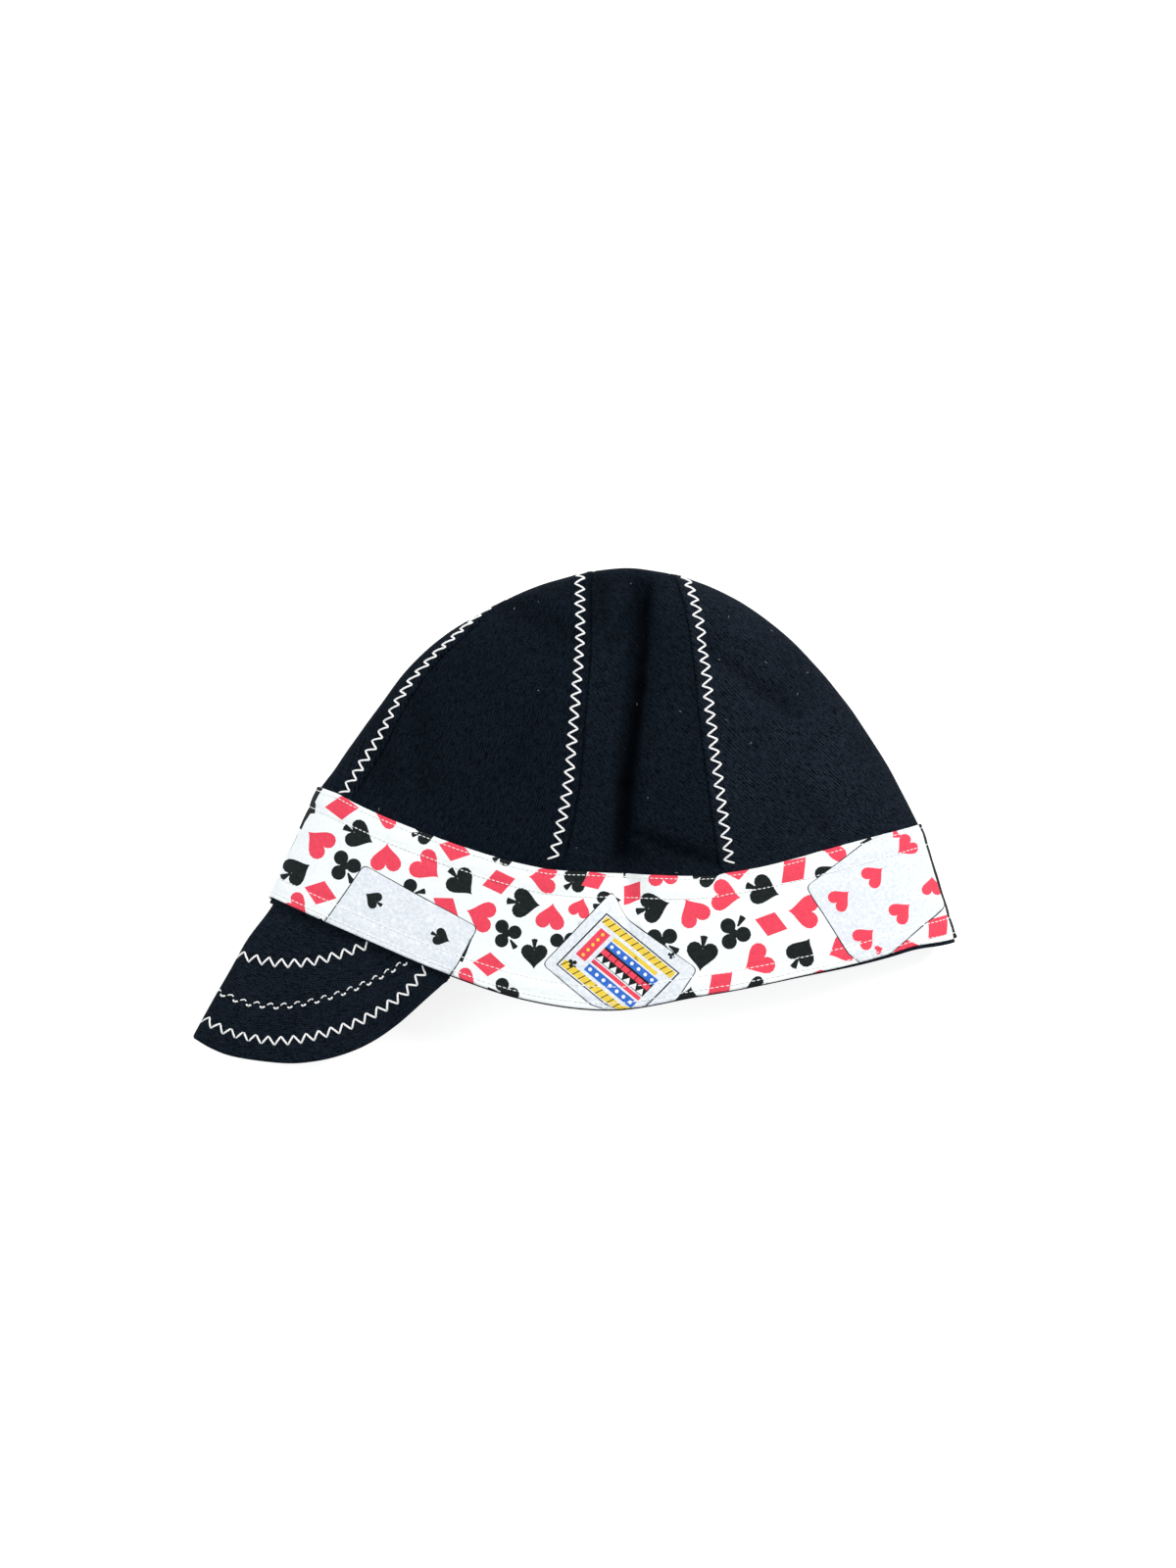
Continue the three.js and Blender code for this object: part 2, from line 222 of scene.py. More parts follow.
def crown_face(turn, climb):
    high = np.sin(climb)
    forward = -np.cos(climb) * np.cos(turn) - APEX_FORWARD * high * high
    around = np.sqrt(np.maximum(0, 1 - forward * forward))
    before = np.arctan2(high, np.cos(climb) * np.sin(turn))
    after = before + APEX_SLIDE * np.sin(before)
    top, side = around * np.sin(after), around * np.cos(after)
    ring = np.arccos(np.clip(top, -1, 1))
    front_x, front_y = outline_at(0.5 - ring / np.pi)
    back_x, back_y = outline_at(0.5 + ring / np.pi)
    share = (1 + forward / np.maximum(np.sin(ring), 1e-9)) / 2
    x = lerp(front_x, back_x, share)
    y = lerp(front_y, back_y, share) - BAND_TOP_SAG * side * side
    settled = smooth(climb / CROWN_SETTLES)
    up = BAND_TOP_LIFT * side + CROWN_BULGE * 2 * side * top - dent_at(x, y, side)
    down = rolled_under(side, FOLD_HEIGHT - UNDER_BAND * (1 - settled))
    return np.stack([x, y, FOLD_HEIGHT + np.where(side >= 0, up, -down)], -1)


def crease_at(points):
    """The height of the creases: valleys with a soft ridge on each side, fading to the outline."""
    x, y = points[..., 0], points[..., 1]
    sunk, ridges = np.zeros_like(x), np.zeros_like(x)
    for start, stop, depth, width in CREASES:
        ax, ay = (start[0] - RIM_FRONT_PX[0]) * PIXEL, (RIM_FRONT_PX[1] - start[1]) * PIXEL
        dx, dy = (stop[0] - start[0]) * PIXEL, (start[1] - stop[1]) * PIXEL
        along = np.clip(((x - ax) * dx + (y - ay) * dy) / (dx * dx + dy * dy), 0, 1)
        away = np.hypot(x - ax - along * dx, y - ay - along * dy) / (width * mm)
        sunk += (depth * bell(away)) ** DENT_BLEND
        ridges = np.maximum(ridges, RIDGE_SHARE * depth * bell((away - RIDGE_AWAY) / RIDGE_WIDTH))
    sunk = sunk ** (1 / DENT_BLEND)
    upper = smooth((points[..., 2] - FOLD_HEIGHT) / CREASE_FADE)
    return (ridges - sunk) * mm * upper, sunk * upper


def cap_face(turn, level):
    turn, level = np.broadcast_arrays(np.asarray(turn, float), np.asarray(level, float))
    low = band_face(turn, np.minimum(level, 1))
    high = crown_face(turn, (np.maximum(level, 1) - 1) * np.pi / 2)
    return np.where((level <= 1)[..., None], low, high) + PLACE


# %% [markdown]
# The solids' band has one plain bow along each edge. The real edges waver more, so they were
# measured in the photograph, and two rises bring the cloth band's edges to where they show: a
# small even one at the rim, and one that varies along the top edge.

# %% How far the band's edges rise on the upper side
RIM_RISE = 1.5 * mm
RIM_RISE_BACK = 1.6  # times as much in the back half
# The top edge: pixels across the photograph, and the rise there in pixels
TOP_RISE = [
    (328, 0), (345, 3), (363, 2.5), (404, 2.6), (438, 3), (480, 2.2), (525, 0.8),
    (560, 0.5), (598, 4), (634, 5.6), (669, 5.2), (711, 1.8), (730, 0.8), (741, 3.4),
    (780, 5.3), (798, 6.5), (833, 8.4), (863, 8.2), (881, 7.2), (902, 5.4), (937, 0.7),
]


def rim_rise(turn):
    """The rise of the rim, as a level. It fades into the underside and at the very back."""
    upper = smooth((np.sin(turn) + 0.15) / 0.3)
    before_back = smooth((1 + np.cos(turn)) / 0.14)
    rise = RIM_RISE * lerp(1, RIM_RISE_BACK, smooth((-0.3 - np.cos(turn)) / 0.3))
    return rise / BAND_RISE * upper * before_back


def top_rise(turn):
    """The rise of the top edge, as a level."""
    back = (1 - np.cos(turn)) / 2
    px = RIM_FRONT_PX[0] + (FRONT_SETBACK + back * BAND_TOP_LENGTH) / PIXEL
    across, rise = np.array(TOP_RISE).T
    return np.interp(px, across, rise) * PIXEL / BAND_RISE * (np.sin(turn) > 0)


# %% Set the surface on the frame: the band's box says where the rim's front corner is
PLACE = np.zeros(3)
turns = np.radians(np.arange(0, 360, 1.0))[:, None]
levels = np.linspace(0, 1, 21)[None, :]
band_low, band_high = (np.array(corner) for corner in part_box("band"))
skin = band_face(turns, levels)
skin_low, skin_high = skin.min((0, 1)), skin.max((0, 1))
PLACE[:2] = ((band_low + band_high) / 2 - (skin_low + skin_high) / 2)[:2]
print("rim's front corner at", (PLACE / mm).round(2), "mm")


# %% [markdown]
# ## The camera
# The photograph looks straight down on the table. A camera far above the table with a long lens
# shows the cap as the photograph does, and the scale is known: one pixel is 0.39 mm at the height
# of the folds. With that, any place in the photograph can be found on the cloth.

# %% Camera straight above
PHOTO_SIZE = (1200, 1600)
CAMERA_HEIGHT = 2.4
SENSOR = 36

AIM = PLACE[:2] + PIXEL * np.array(
    [PHOTO_SIZE[0] / 2 - RIM_FRONT_PX[0], RIM_FRONT_PX[1] - PHOTO_SIZE[1] / 2]
)
camera_data = bpy.data.cameras.new("camera")
camera = bpy.data.objects.new("camera", camera_data)
bpy.context.collection.objects.link(camera)
camera.location = (AIM[0], AIM[1], CAMERA_HEIGHT)
camera_data.sensor_width = SENSOR
camera_data.lens = SENSOR * (CAMERA_HEIGHT - FOLD_HEIGHT) / (PHOTO_SIZE[1] * PIXEL)
camera_data.clip_end = 20
bpy.context.scene.camera = camera
print("lens", round(camera_data.lens, 1), "mm, aimed at", (AIM / mm).round(1))


# %% From the photograph to the cloth
def seen_at(points):
    """The pixel of the photograph where a point shows."""
    scale = (CAMERA_HEIGHT - FOLD_HEIGHT) / (CAMERA_HEIGHT - points[..., 2]) / PIXEL
    px = PHOTO_SIZE[0] / 2 + (points[..., 0] - AIM[0]) * scale
    py = PHOTO_SIZE[1] / 2 - (points[..., 1] - AIM[1]) * scale
    return np.stack([px, py], -1)


def on_cloth(face, pixels, turn_range, level_range):
    """The turn and level of the places on the upper side that show at some pixels."""
    turn, level = np.meshgrid(np.linspace(*turn_range, 120), np.linspace(*level_range, 60))
    turn, level = turn.ravel(), level.ravel()
    shown = seen_at(face(turn, level))
    pixels = np.asarray(pixels, float).reshape(-1, 2)
    near = [np.argmin(((shown - p) ** 2).sum(1)) for p in pixels]
    spot = np.stack([turn[near], level[near]], -1)
    step = 1e-4
    for _ in range(8):
        here = seen_at(face(spot[:, 0], spot[:, 1]))
        by_turn = (seen_at(face(spot[:, 0] + step, spot[:, 1])) - here) / step
        by_level = (seen_at(face(spot[:, 0], spot[:, 1] + step)) - here) / step
        miss = pixels - here
        det = by_turn[:, 0] * by_level[:, 1] - by_turn[:, 1] * by_level[:, 0]
        d_turn = (miss[:, 0] * by_level[:, 1] - miss[:, 1] * by_level[:, 0]) / det
        d_level = (by_turn[:, 0] * miss[:, 1] - by_turn[:, 1] * miss[:, 0]) / det
        spot[:, 0] = np.clip(spot[:, 0] + np.clip(d_turn, -0.1, 0.1), *turn_range)
        spot[:, 1] += np.clip(d_level, -0.1, 0.1)
    return spot


# %% [markdown]
# ## Floor and light
# A white light table with soft light from all round, and one large soft lamp high on the right.
# The lamp makes the valleys of the black cloth readable, and the glow of the table keeps the
# shadows as pale as they are in a catalogue picture.

# %% Floor
bpy.ops.mesh.primitive_plane_add(size=6, location=(0, 0, 0))
floor = bpy.context.object
floor.name = "floor"
floor_paint = bpy.data.materials.new("floor_paint")
floor_paint.use_nodes = True
shader = floor_paint.node_tree.nodes["Principled BSDF"]
shader.inputs["Base Color"].default_value = (0.55, 0.55, 0.55, 1)
shader.inputs["Roughness"].default_value = 0.9
shader.inputs["Specular IOR Level"].default_value = 0.1
shader.inputs["Emission Color"].default_value = (1, 1, 1, 1)
shader.inputs["Emission Strength"].default_value = 0.78
floor.data.materials.append(floor_paint)

# %% Light
world = bpy.data.worlds.new("soft_room")
world.use_nodes = True
sky = world.node_tree.nodes["Background"].inputs
sky["Color"].default_value = (0.97, 0.985, 1, 1)
sky["Strength"].default_value = 0.42
bpy.context.scene.world = world
bpy.context.scene.view_settings.view_transform = "Standard"


def soft_lamp(name, place, size, watts, colour):
    bpy.ops.object.light_add(type="AREA", location=place)
    lamp = bpy.context.object
    lamp.name = name
    lamp.data.size = size
    lamp.data.energy = watts
    lamp.data.color = colour
    lamp.rotation_euler = (-Vector(place)).to_track_quat("-Z", "Y").to_euler()
    return lamp


soft_lamp("key_lamp", (1.3, 1.1, 1.6), 0.8, 40, (1, 0.985, 0.96))
soft_lamp("fill_lamp", (-1.6, 0.3, 1.8), 1.6, 22, (0.94, 0.97, 1))

# %% [markdown]
# ## The finishes
# Black cotton twill is nearly black, with a breath of blue. What tells the eye that it is cloth is
# the fine diagonal rib, a soft dust-dulled sheen and a scatter of pale lint. The rib follows a UV map
# that is measured in metres along the cloth, so it turns with each gore as real cloth does. Worn
# patches lighten the cloth at random, in amounts that differ by gore and are partly painted light.
# Painted shade darkens the colour towards black down in the creases and dents.


# %% Small helpers for shader nodes
def add_node(tree, kind, **settings):
    """A node with some of its inputs or properties set."""
    made = tree.nodes.new(kind)
    for key, value in settings.items():
        if key in made.inputs:
            made.inputs[key].default_value = value
        else:
            setattr(made, key, value)
    return made


def maths(tree, operation, a, b=None):
    made = tree.nodes.new("ShaderNodeMath")
    made.operation = operation
    for socket, value in zip(made.inputs, (a, b)):
        if isinstance(value, (int, float)):
            socket.default_value = value
        elif value is not None:
            tree.links.new(value, socket)
    return made.outputs[0]


def weighted(tree, *parts):
    """The sum of several outputs, each times its weight."""
    total = None
    for value, weight in parts:
        scaled = maths(tree, "MULTIPLY", value, weight)
        total = scaled if total is None else maths(tree, "ADD", total, scaled)
    return total


def mixed(tree, share, low, high):
    """A colour between two others. Each may be a colour or another node's output."""
    made = tree.nodes.new("ShaderNodeMix")
    made.data_type = "RGBA"
    tree.links.new(share, made.inputs[0])
    for socket, value in ((made.inputs[6], low), (made.inputs[7], high)):
        if isinstance(value, tuple):
            socket.default_value = value
        else:
            tree.links.new(value, socket)
    return made.outputs[2]


def ramp(tree, value, low, high):
    """0 below low, 1 above high and even between."""
    made = add_node(tree, "ShaderNodeMapRange")
    made.inputs["From Min"].default_value = low
    made.inputs["From Max"].default_value = high
    tree.links.new(value, made.inputs["Value"])
    return made.outputs["Result"]


def wave(tree, coords, direction, pitch, wander):
    """Ribs across a direction, pitch apart, that wander a little."""
    # The wave texture turns this fast along its own direction
    turn = 10 * math.sqrt(2) if direction == "DIAGONAL" else 20
    made = add_node(tree, "ShaderNodeTexWave", bands_direction=direction, Distortion=wander, Detail=1)
    made.inputs["Scale"].default_value = 2 * math.pi / (turn * pitch)
    tree.links.new(coords, made.inputs["Vector"])
    return made.outputs["Fac"]


def cloud(tree, coords, size, detail=3):
    made = add_node(tree, "ShaderNodeTexNoise", Scale=1 / size, Detail=detail)
    tree.links.new(coords, made.inputs["Vector"])
    return made.outputs["Fac"]


def new_material(name):
    made = bpy.data.materials.new(name)
    made.use_nodes = True
    tree = made.node_tree
    return made, tree, tree.nodes["Principled BSDF"]


def coordinates(tree):
    """Places along the flat cloth, and places in the piece."""
    uv = add_node(tree, "ShaderNodeUVMap", uv_map="cloth").outputs["UV"]
    return uv, add_node(tree, "ShaderNodeTexCoord").outputs["Object"]


def bump(tree, shader, height, distance, strength=1.0, under=None):
    made = add_node(tree, "ShaderNodeBump", Distance=distance, Strength=strength)
    tree.links.new(height, made.inputs["Height"])
    if under is not None:
        tree.links.new(under, made.inputs["Normal"])
    tree.links.new(made.outputs["Normal"], shader.inputs["Normal"])
    return made.outputs["Normal"]


# %% Black twill
RIB = 1.0 * mm
RIB_ANGLES = {"X": 0, "Y": math.pi / 2, "DIAGONAL": math.pi / 4}
YARN = 0.5 * mm
FUZZ = 0.8 * mm
FADED_PATCH = 30 * mm
SPECK_PITCH = 2.6 * mm
STREAK = (0.7 * mm, 3.5 * mm, 1)
BLACK_LOW = (0.0003, 0.0009, 0.0018, 1)
BLACK_HIGH = (0.0085, 0.0155, 0.026, 1)
# The pale tone of worn black cloth, also used as painted light where the gores are painted lighter
BLACK_WORN_AND_PAINTED_LIGHT = (0.017, 0.024, 0.036, 1)
LINT_TINT = (0.06, 0.07, 0.08, 1)


def patches_of(tree, coords, size, detail=3):
    """Clouds with clear light and dark patches."""
    return ramp(tree, cloud(tree, coords, size, detail), 0.34, 0.66)


def streaks(tree, uv, angle):
    """Fine streaks, long along the ribs and narrow across them."""
    spun = add_node(tree, "ShaderNodeMapping", vector_type="TEXTURE", Rotation=(0, 0, angle), Scale=STREAK)
    tree.links.new(uv, spun.inputs["Vector"])
    return patches_of(tree, spun.outputs["Vector"], 1, 2)


def black_twill(name, rib_direction, dust_and_painted_light):
    made, tree, shader = new_material(name)
    uv, place = coordinates(tree)
    rib = wave(tree, uv, rib_direction, RIB, 1.2)
    yarn = wave(tree, uv, "Y" if rib_direction != "Y" else "X", YARN, 0.6)
    weave = weighted(tree, (rib, 0.7), (yarn, 0.3))
    fuzz = patches_of(tree, place, FUZZ)
    streak = streaks(tree, uv, RIB_ANGLES[rib_direction])
    weave_tone = weighted(tree, (weave, 0.35), (fuzz, 0.35), (streak, 0.3))
    colour = mixed(tree, ramp(tree, weave_tone, 0.2, 1.0), BLACK_LOW, BLACK_HIGH)
    # The worn patches come at random; their amount is set per gore and is partly painted light
    worn_and_painted_light = ramp(tree, cloud(tree, place, FADED_PATCH, 5), 0.3, 0.7)
    worn_and_painted_light = maths(tree, "MULTIPLY", maths(tree, "ADD", worn_and_painted_light, dust_and_painted_light), 0.7 * dust_and_painted_light)
    worn_and_painted_light = maths(tree, "MULTIPLY", worn_and_painted_light, ramp(tree, weave_tone, 0.25, 0.8))
    colour = mixed(tree, worn_and_painted_light, colour, BLACK_WORN_AND_PAINTED_LIGHT)
    # Painted shade: the colour goes towards BLACK_LOW down in the creases and dents
    painted_shade = add_node(tree, "ShaderNodeAttribute", attribute_name="painted_shade").outputs["Fac"]
    colour = mixed(tree, painted_shade, colour, BLACK_LOW)
    specks = add_node(tree, "ShaderNodeTexVoronoi", Scale=1 / SPECK_PITCH)
    tree.links.new(place, specks.inputs["Vector"])
    speck = maths(tree, "SUBTRACT", 1, ramp(tree, specks.outputs["Distance"], 0.05, 0.14))
    colour = mixed(tree, maths(tree, "MULTIPLY", speck, 0.5 * dust_and_painted_light), colour, LINT_TINT)
    tree.links.new(colour, shader.inputs["Base Color"])
    shader.inputs["Roughness"].default_value = 0.88
    shader.inputs["Specular IOR Level"].default_value = 0.03
    shader.inputs["Sheen Weight"].default_value = 0.012
    shader.inputs["Sheen Roughness"].default_value = 0.45
    shader.inputs["Sheen Tint"].default_value = (0.6, 0.72, 0.9, 1)
    fine = bump(tree, shader, weave, 0.12 * mm, 0.8)
    bump(tree, shader, fuzz, 0.06 * mm, 0.4, fine)
    return made


# The amount of dust differs by gore and is partly painted light: the back gores are painted lighter and
# the front gore darker, as the light falls on them
crown_twill = black_twill("crown_twill", "DIAGONAL", 0.35)
crown_twill_front = black_twill("crown_twill_front", "X", 0.15)
crown_twill_back = black_twill("crown_twill_back", "DIAGONAL", 0.75)
bill_twill = black_twill("bill_twill", "Y", 0.6)

# %% [markdown]
# The band is a fine plain-woven cotton that was printed. The print is thin ink, so every colour
# keeps the same weave and the same faint pilling. One function makes them all.

# %% Printed cotton
THREAD_PITCH = 0.36 * mm


def printed_cotton(name, ink, mottle, mottled):
    made, tree, shader = new_material(name)
    uv, place = coordinates(tree)
    warp, weft = wave(tree, uv, "X", THREAD_PITCH, 0.4), wave(tree, uv, "Y", THREAD_PITCH, 0.4)
    weave = maths(tree, "MULTIPLY", maths(tree, "ADD", warp, weft), 0.5)
    patches = ramp(tree, cloud(tree, place, 1.3 * mm, 5), 0.35, 0.7)
    colour = mixed(tree, maths(tree, "MULTIPLY", patches, mottled), ink, mottle)
    tree.links.new(colour, shader.inputs["Base Color"])
    shader.inputs["Roughness"].default_value = 0.8
    shader.inputs["Specular IOR Level"].default_value = 0.12
    fine = bump(tree, shader, weave, 0.05 * mm, 0.6)
    bump(tree, shader, patches, 0.08 * mm, 0.35, fine)
    return made


# Each ink with the colour that its mottling turns to, and how much of it
INKS = {
    "white_ground": ((0.92, 0.955, 0.955, 1), (0.82, 0.865, 0.88, 1), 0.6),
    "coral_ink": ((0.88, 0.075, 0.125, 1), (0.80, 0.055, 0.095, 1), 0.8),
    "black_ink": ((0.008, 0.011, 0.012, 1), (0.019, 0.024, 0.025, 1), 0.7),
    "card_ground": ((0.70, 0.75, 0.82, 1), (0.90, 0.935, 0.95, 1), 0.9),
    "yellow_ink": ((0.84, 0.60, 0.055, 1), (0.9, 0.68, 0.12, 1), 0.6),
    "blue_ink": ((0.03, 0.14, 0.58, 1), (0.05, 0.2, 0.66, 1), 0.6),
}
ink_names = list(INKS)
inks = [printed_cotton(name, *INKS[name]) for name in ink_names]
print("inks:", ink_names)

# %% Sewing thread
thread_white, tree, shader = new_material("thread_white")
place = add_node(tree, "ShaderNodeTexCoord").outputs["Object"]
fibres = cloud(tree, place, 0.25 * mm, 2)
tint = mixed(tree, ramp(tree, fibres, 0.2, 0.6), (0.78, 0.79, 0.78, 1), (0.98, 0.98, 0.975, 1))
tree.links.new(tint, shader.inputs["Base Color"])
shader.inputs["Roughness"].default_value = 0.6
shader.inputs["Sheen Weight"].default_value = 0.1
bump(tree, shader, fibres, 0.05 * mm, 0.6)

# %% [markdown]
# ## Cutting and laying a sheet
# A sheet of cloth starts as a flat grid, as cloth starts on the cutting table. Each corner of the
# grid is then laid on the surface of the cap. The UV map keeps the flat measure of the cloth, and
# Solidify gives the wall its thickness on the inside, so that the outside stays where it was laid.


# %% Helpers that lay a grid of points as a piece of cloth
WELD = 0.02 * mm
CLOTH_GAP, LEAST_GAP = 0.05 * mm, 0.02 * mm


def normals_of(points):
    """Outward normals of a grid of points, [column, row]."""
    return unit(np.cross(np.gradient(points, axis=0), np.gradient(points, axis=1)))


def above_table(points, gap):
    """The same points, but none lower than a small gap above the table."""
    points[..., 2] = np.maximum(points[..., 2], gap)
    return points


def rolled_edge(away, width, drop):
    """How far an edge drops as it rounds over, by the distance in from it."""
    share = np.clip(away / width, 0, 1)
    return drop * (1 - np.sqrt(share * (2 - share)))


def nothing_selected():
    for other in bpy.context.selected_objects:
        other.select_set(False)


def keep_flat(mesh, flat):
    """Give the UV map each corner's place on the flat cloth."""
    corners = np.empty(len(mesh.loops), int)
    mesh.loops.foreach_get("vertex_index", corners)
    mesh.uv_layers["cloth"].uv.foreach_set("vector", flat[corners].ravel())


def lay_sheet(name, points, flat, thickness, materials, painted_shade=None):
    """A flat grid primitive whose corners are laid on points[column, row]. flat is their UV."""
    columns, rows = points.shape[:2]
    nothing_selected()
    bpy.ops.mesh.primitive_grid_add(x_subdivisions=columns - 1, y_subdivisions=rows - 1, size=2)
    piece = bpy.context.object
    piece.name = name
    mesh = piece.data
    spots = np.empty(len(mesh.vertices) * 3)
    mesh.vertices.foreach_get("co", spots)
    spots = spots.reshape(-1, 3)
    i = np.rint((spots[:, 0] + 1) / 2 * (columns - 1)).astype(int)
    j = np.rint((spots[:, 1] + 1) / 2 * (rows - 1)).astype(int)
    mesh.vertices.foreach_set("co", points[i, j].ravel())
    mesh.uv_layers[0].name = "cloth"
    keep_flat(mesh, flat[i, j])
    for material in materials:
        mesh.materials.append(material)
    # The painted shade of the creases and dents goes on each corner as an attribute
    if painted_shade is not None:
        depths = mesh.attributes.new("painted_shade", "FLOAT", "POINT").data
        depths.foreach_set("value", painted_shade[i, j].ravel())
    on_whole_mesh(piece, bpy.ops.mesh.remove_doubles, threshold=WELD)
    thicken(piece, thickness)
    bpy.ops.object.shade_smooth()
    return piece


def mesh_piece(name, spots, faces, materials):
    """A new object from corners and faces."""
    mesh = bpy.data.meshes.new(name)
    mesh.from_pydata(spots.reshape(-1, 3).tolist(), [], faces)
    for material in materials:
        mesh.materials.append(material)
    piece = bpy.data.objects.new(name, mesh)
    bpy.context.collection.objects.link(piece)
    return piece


def on_whole_mesh(piece, operator, **settings):
    """Run one operator of edit mode on a whole piece, and leave the piece active."""
    nothing_selected()
    piece.select_set(True)
    bpy.context.view_layer.objects.active = piece
    bpy.ops.object.mode_set(mode="EDIT")
    bpy.ops.mesh.select_all(action="SELECT")
    operator(**settings)
    bpy.ops.object.mode_set(mode="OBJECT")


def thicken(piece, thickness):
    wall = piece.modifiers.new("wall", "SOLIDIFY")
    wall.thickness = thickness
    wall.offset = -1
    bpy.ops.object.modifier_apply(modifier=wall.name)


def soft_noise(points, size, seed):
    """A gentle lumpiness, about -1 to 1, at each of some points."""
    flat = points.reshape(-1, 3) / size
    values = [noise.noise(Vector((x, y, z + 31.7 * seed))) for x, y, z in flat]
    return np.array(values).reshape(points.shape[:-1])


# %% [markdown]
# ## The gores of the crown
# Six curved triangles make the crown. Two gores are sewn face to face and opened, and the spare
# cloth is pressed to one side and held by a zigzag. So at each seam there is a sharp groove, and
# on one side of it a low ridge of doubled cloth that the zigzag pulls down and puckers.

# %% Seams, and the gore that starts at each
# A seam's place is in degrees round the band. Its sways are in one wave, in two waves and so on.
SEAMS = [
    # at, sways, gore that starts here, its finish, columns, rows, zigzag before the seam
    (25.5, [15, 2, -5], "crown_panel_left_front", crown_twill_front, 110, 190, True),
    (78.6, [-1, 2.3], "crown_panel_left_middle", crown_twill, 120, 190, True),
    (109.6, [-3], "crown_panel_left_back", crown_twill_back, 120, 190, False),
    (192.3, [], "crown_panel_right_back", crown_twill_back, 70, 110, True),
    (252.8, [], "crown_panel_right_middle", crown_twill, 60, 110, True),
    (294.2, [], "crown_panel_front", crown_twill, 110, 150, False),
]
ZIGZAG_FROM_SEAM = 4.3 * mm
ZIGZAG_WIDTH = 4.1 * mm
ZIGZAG_PITCH = 5.0 * mm
ZIGZAG_TOP = 1.93
ALLOWANCE = 8 * mm
GROOVE_DEPTH, GROOVE_WIDTH = 0.9 * mm, 0.6 * mm
RIDGE_HEIGHT = 0.45 * mm
HELD_DEPTH, HELD_WIDTH = 0.3 * mm, 1.9 * mm
PUCKER_HEIGHT, PUCKER_WIDTH = 0.16 * mm, 3 * mm
WAVE_HEIGHT, WAVE_WIDTH = 0.18 * mm, 9 * mm
BELOW_RIM, MORE_BELOW_BACK = 0.012, 0.02


def gore_start(turn):
    """The level of the gores' cut edge. It shows as a dark line below the rim, wider at the back."""
    towards_back = smooth((turn - math.radians(115)) / math.radians(35))
    return rim_rise(turn) - BELOW_RIM - MORE_BELOW_BACK * towards_back


def seam_turn(at, sways, level):
    """The turn of a seam at each level. It stays on its place below the crown."""
    climbed = np.clip(level - 1, 0, 1)
    swayed = sum(sway * np.sin((i + 1) * np.pi * climbed) for i, sway in enumerate(sways))
    return np.radians(at + swayed)


def lengths_along(points, axis):
    """How far each point lies from the first, measured along the rows or columns."""
    gaps = np.linalg.norm(np.diff(points, axis=axis), axis=-1)
    start = np.zeros_like(np.take(gaps, [0], axis=axis))
    return np.concatenate([start, np.cumsum(gaps, axis=axis)], axis=axis)


def seam_relief(away, run, level, doubled, seed):
    """The height of the cloth beside a seam, by the distance away from it and the run along it."""
    groove = -GROOVE_DEPTH * bell(away / GROOVE_WIDTH)
    if doubled:
        ridge = RIDGE_HEIGHT * (1 - smooth((away - 0.75 * ALLOWANCE) / (0.35 * ALLOWANCE)))
        beside = away - ZIGZAG_FROM_SEAM
        held = -HELD_DEPTH * bell(beside / HELD_WIDTH)
        pucker = PUCKER_HEIGHT * np.cos(2 * np.pi * run / ZIGZAG_PITCH) * bell(beside / PUCKER_WIDTH)
        groove = groove + ridge + held + pucker
    waves = np.sin(run / (3.1 * mm) + 2 * np.sin(run / (9 * mm) + seed)) * np.exp(-away / WAVE_WIDTH)
    return (groove + WAVE_HEIGHT * waves) * smooth((level - 0.98) / 0.06)


SEAM_TUCK, SEAM_TUCK_DROP = 1.4 * mm, 0.2 * mm
UNDER_BAND_DROP = 1.2 * mm


def run_on(points, flat, painted_shade, edge):
    """One more column past a gore's edge, tucked below the gore that it is sewn to."""
    inner, place = (2, 0) if edge == 0 else (-3, len(points))
    ahead, step = points[edge] - points[inner], flat[edge] - flat[inner]
    length = np.linalg.norm(ahead, axis=-1, keepdims=True)
    share = np.clip(length / (0.3 * mm), 0, 1)
    ahead, step = (way / np.maximum(length, 1e-9) * SEAM_TUCK * share for way in (ahead, step))
    below = normals_of(points)[edge] * SEAM_TUCK_DROP * share
    added = above_table(points[edge] + ahead - below, CLOTH_GAP)
    return (
        np.insert(points, place, added, axis=0),
        np.insert(flat, place, flat[edge] + step, axis=0),
        np.insert(painted_shade, place, painted_shade[edge], axis=0),
    )


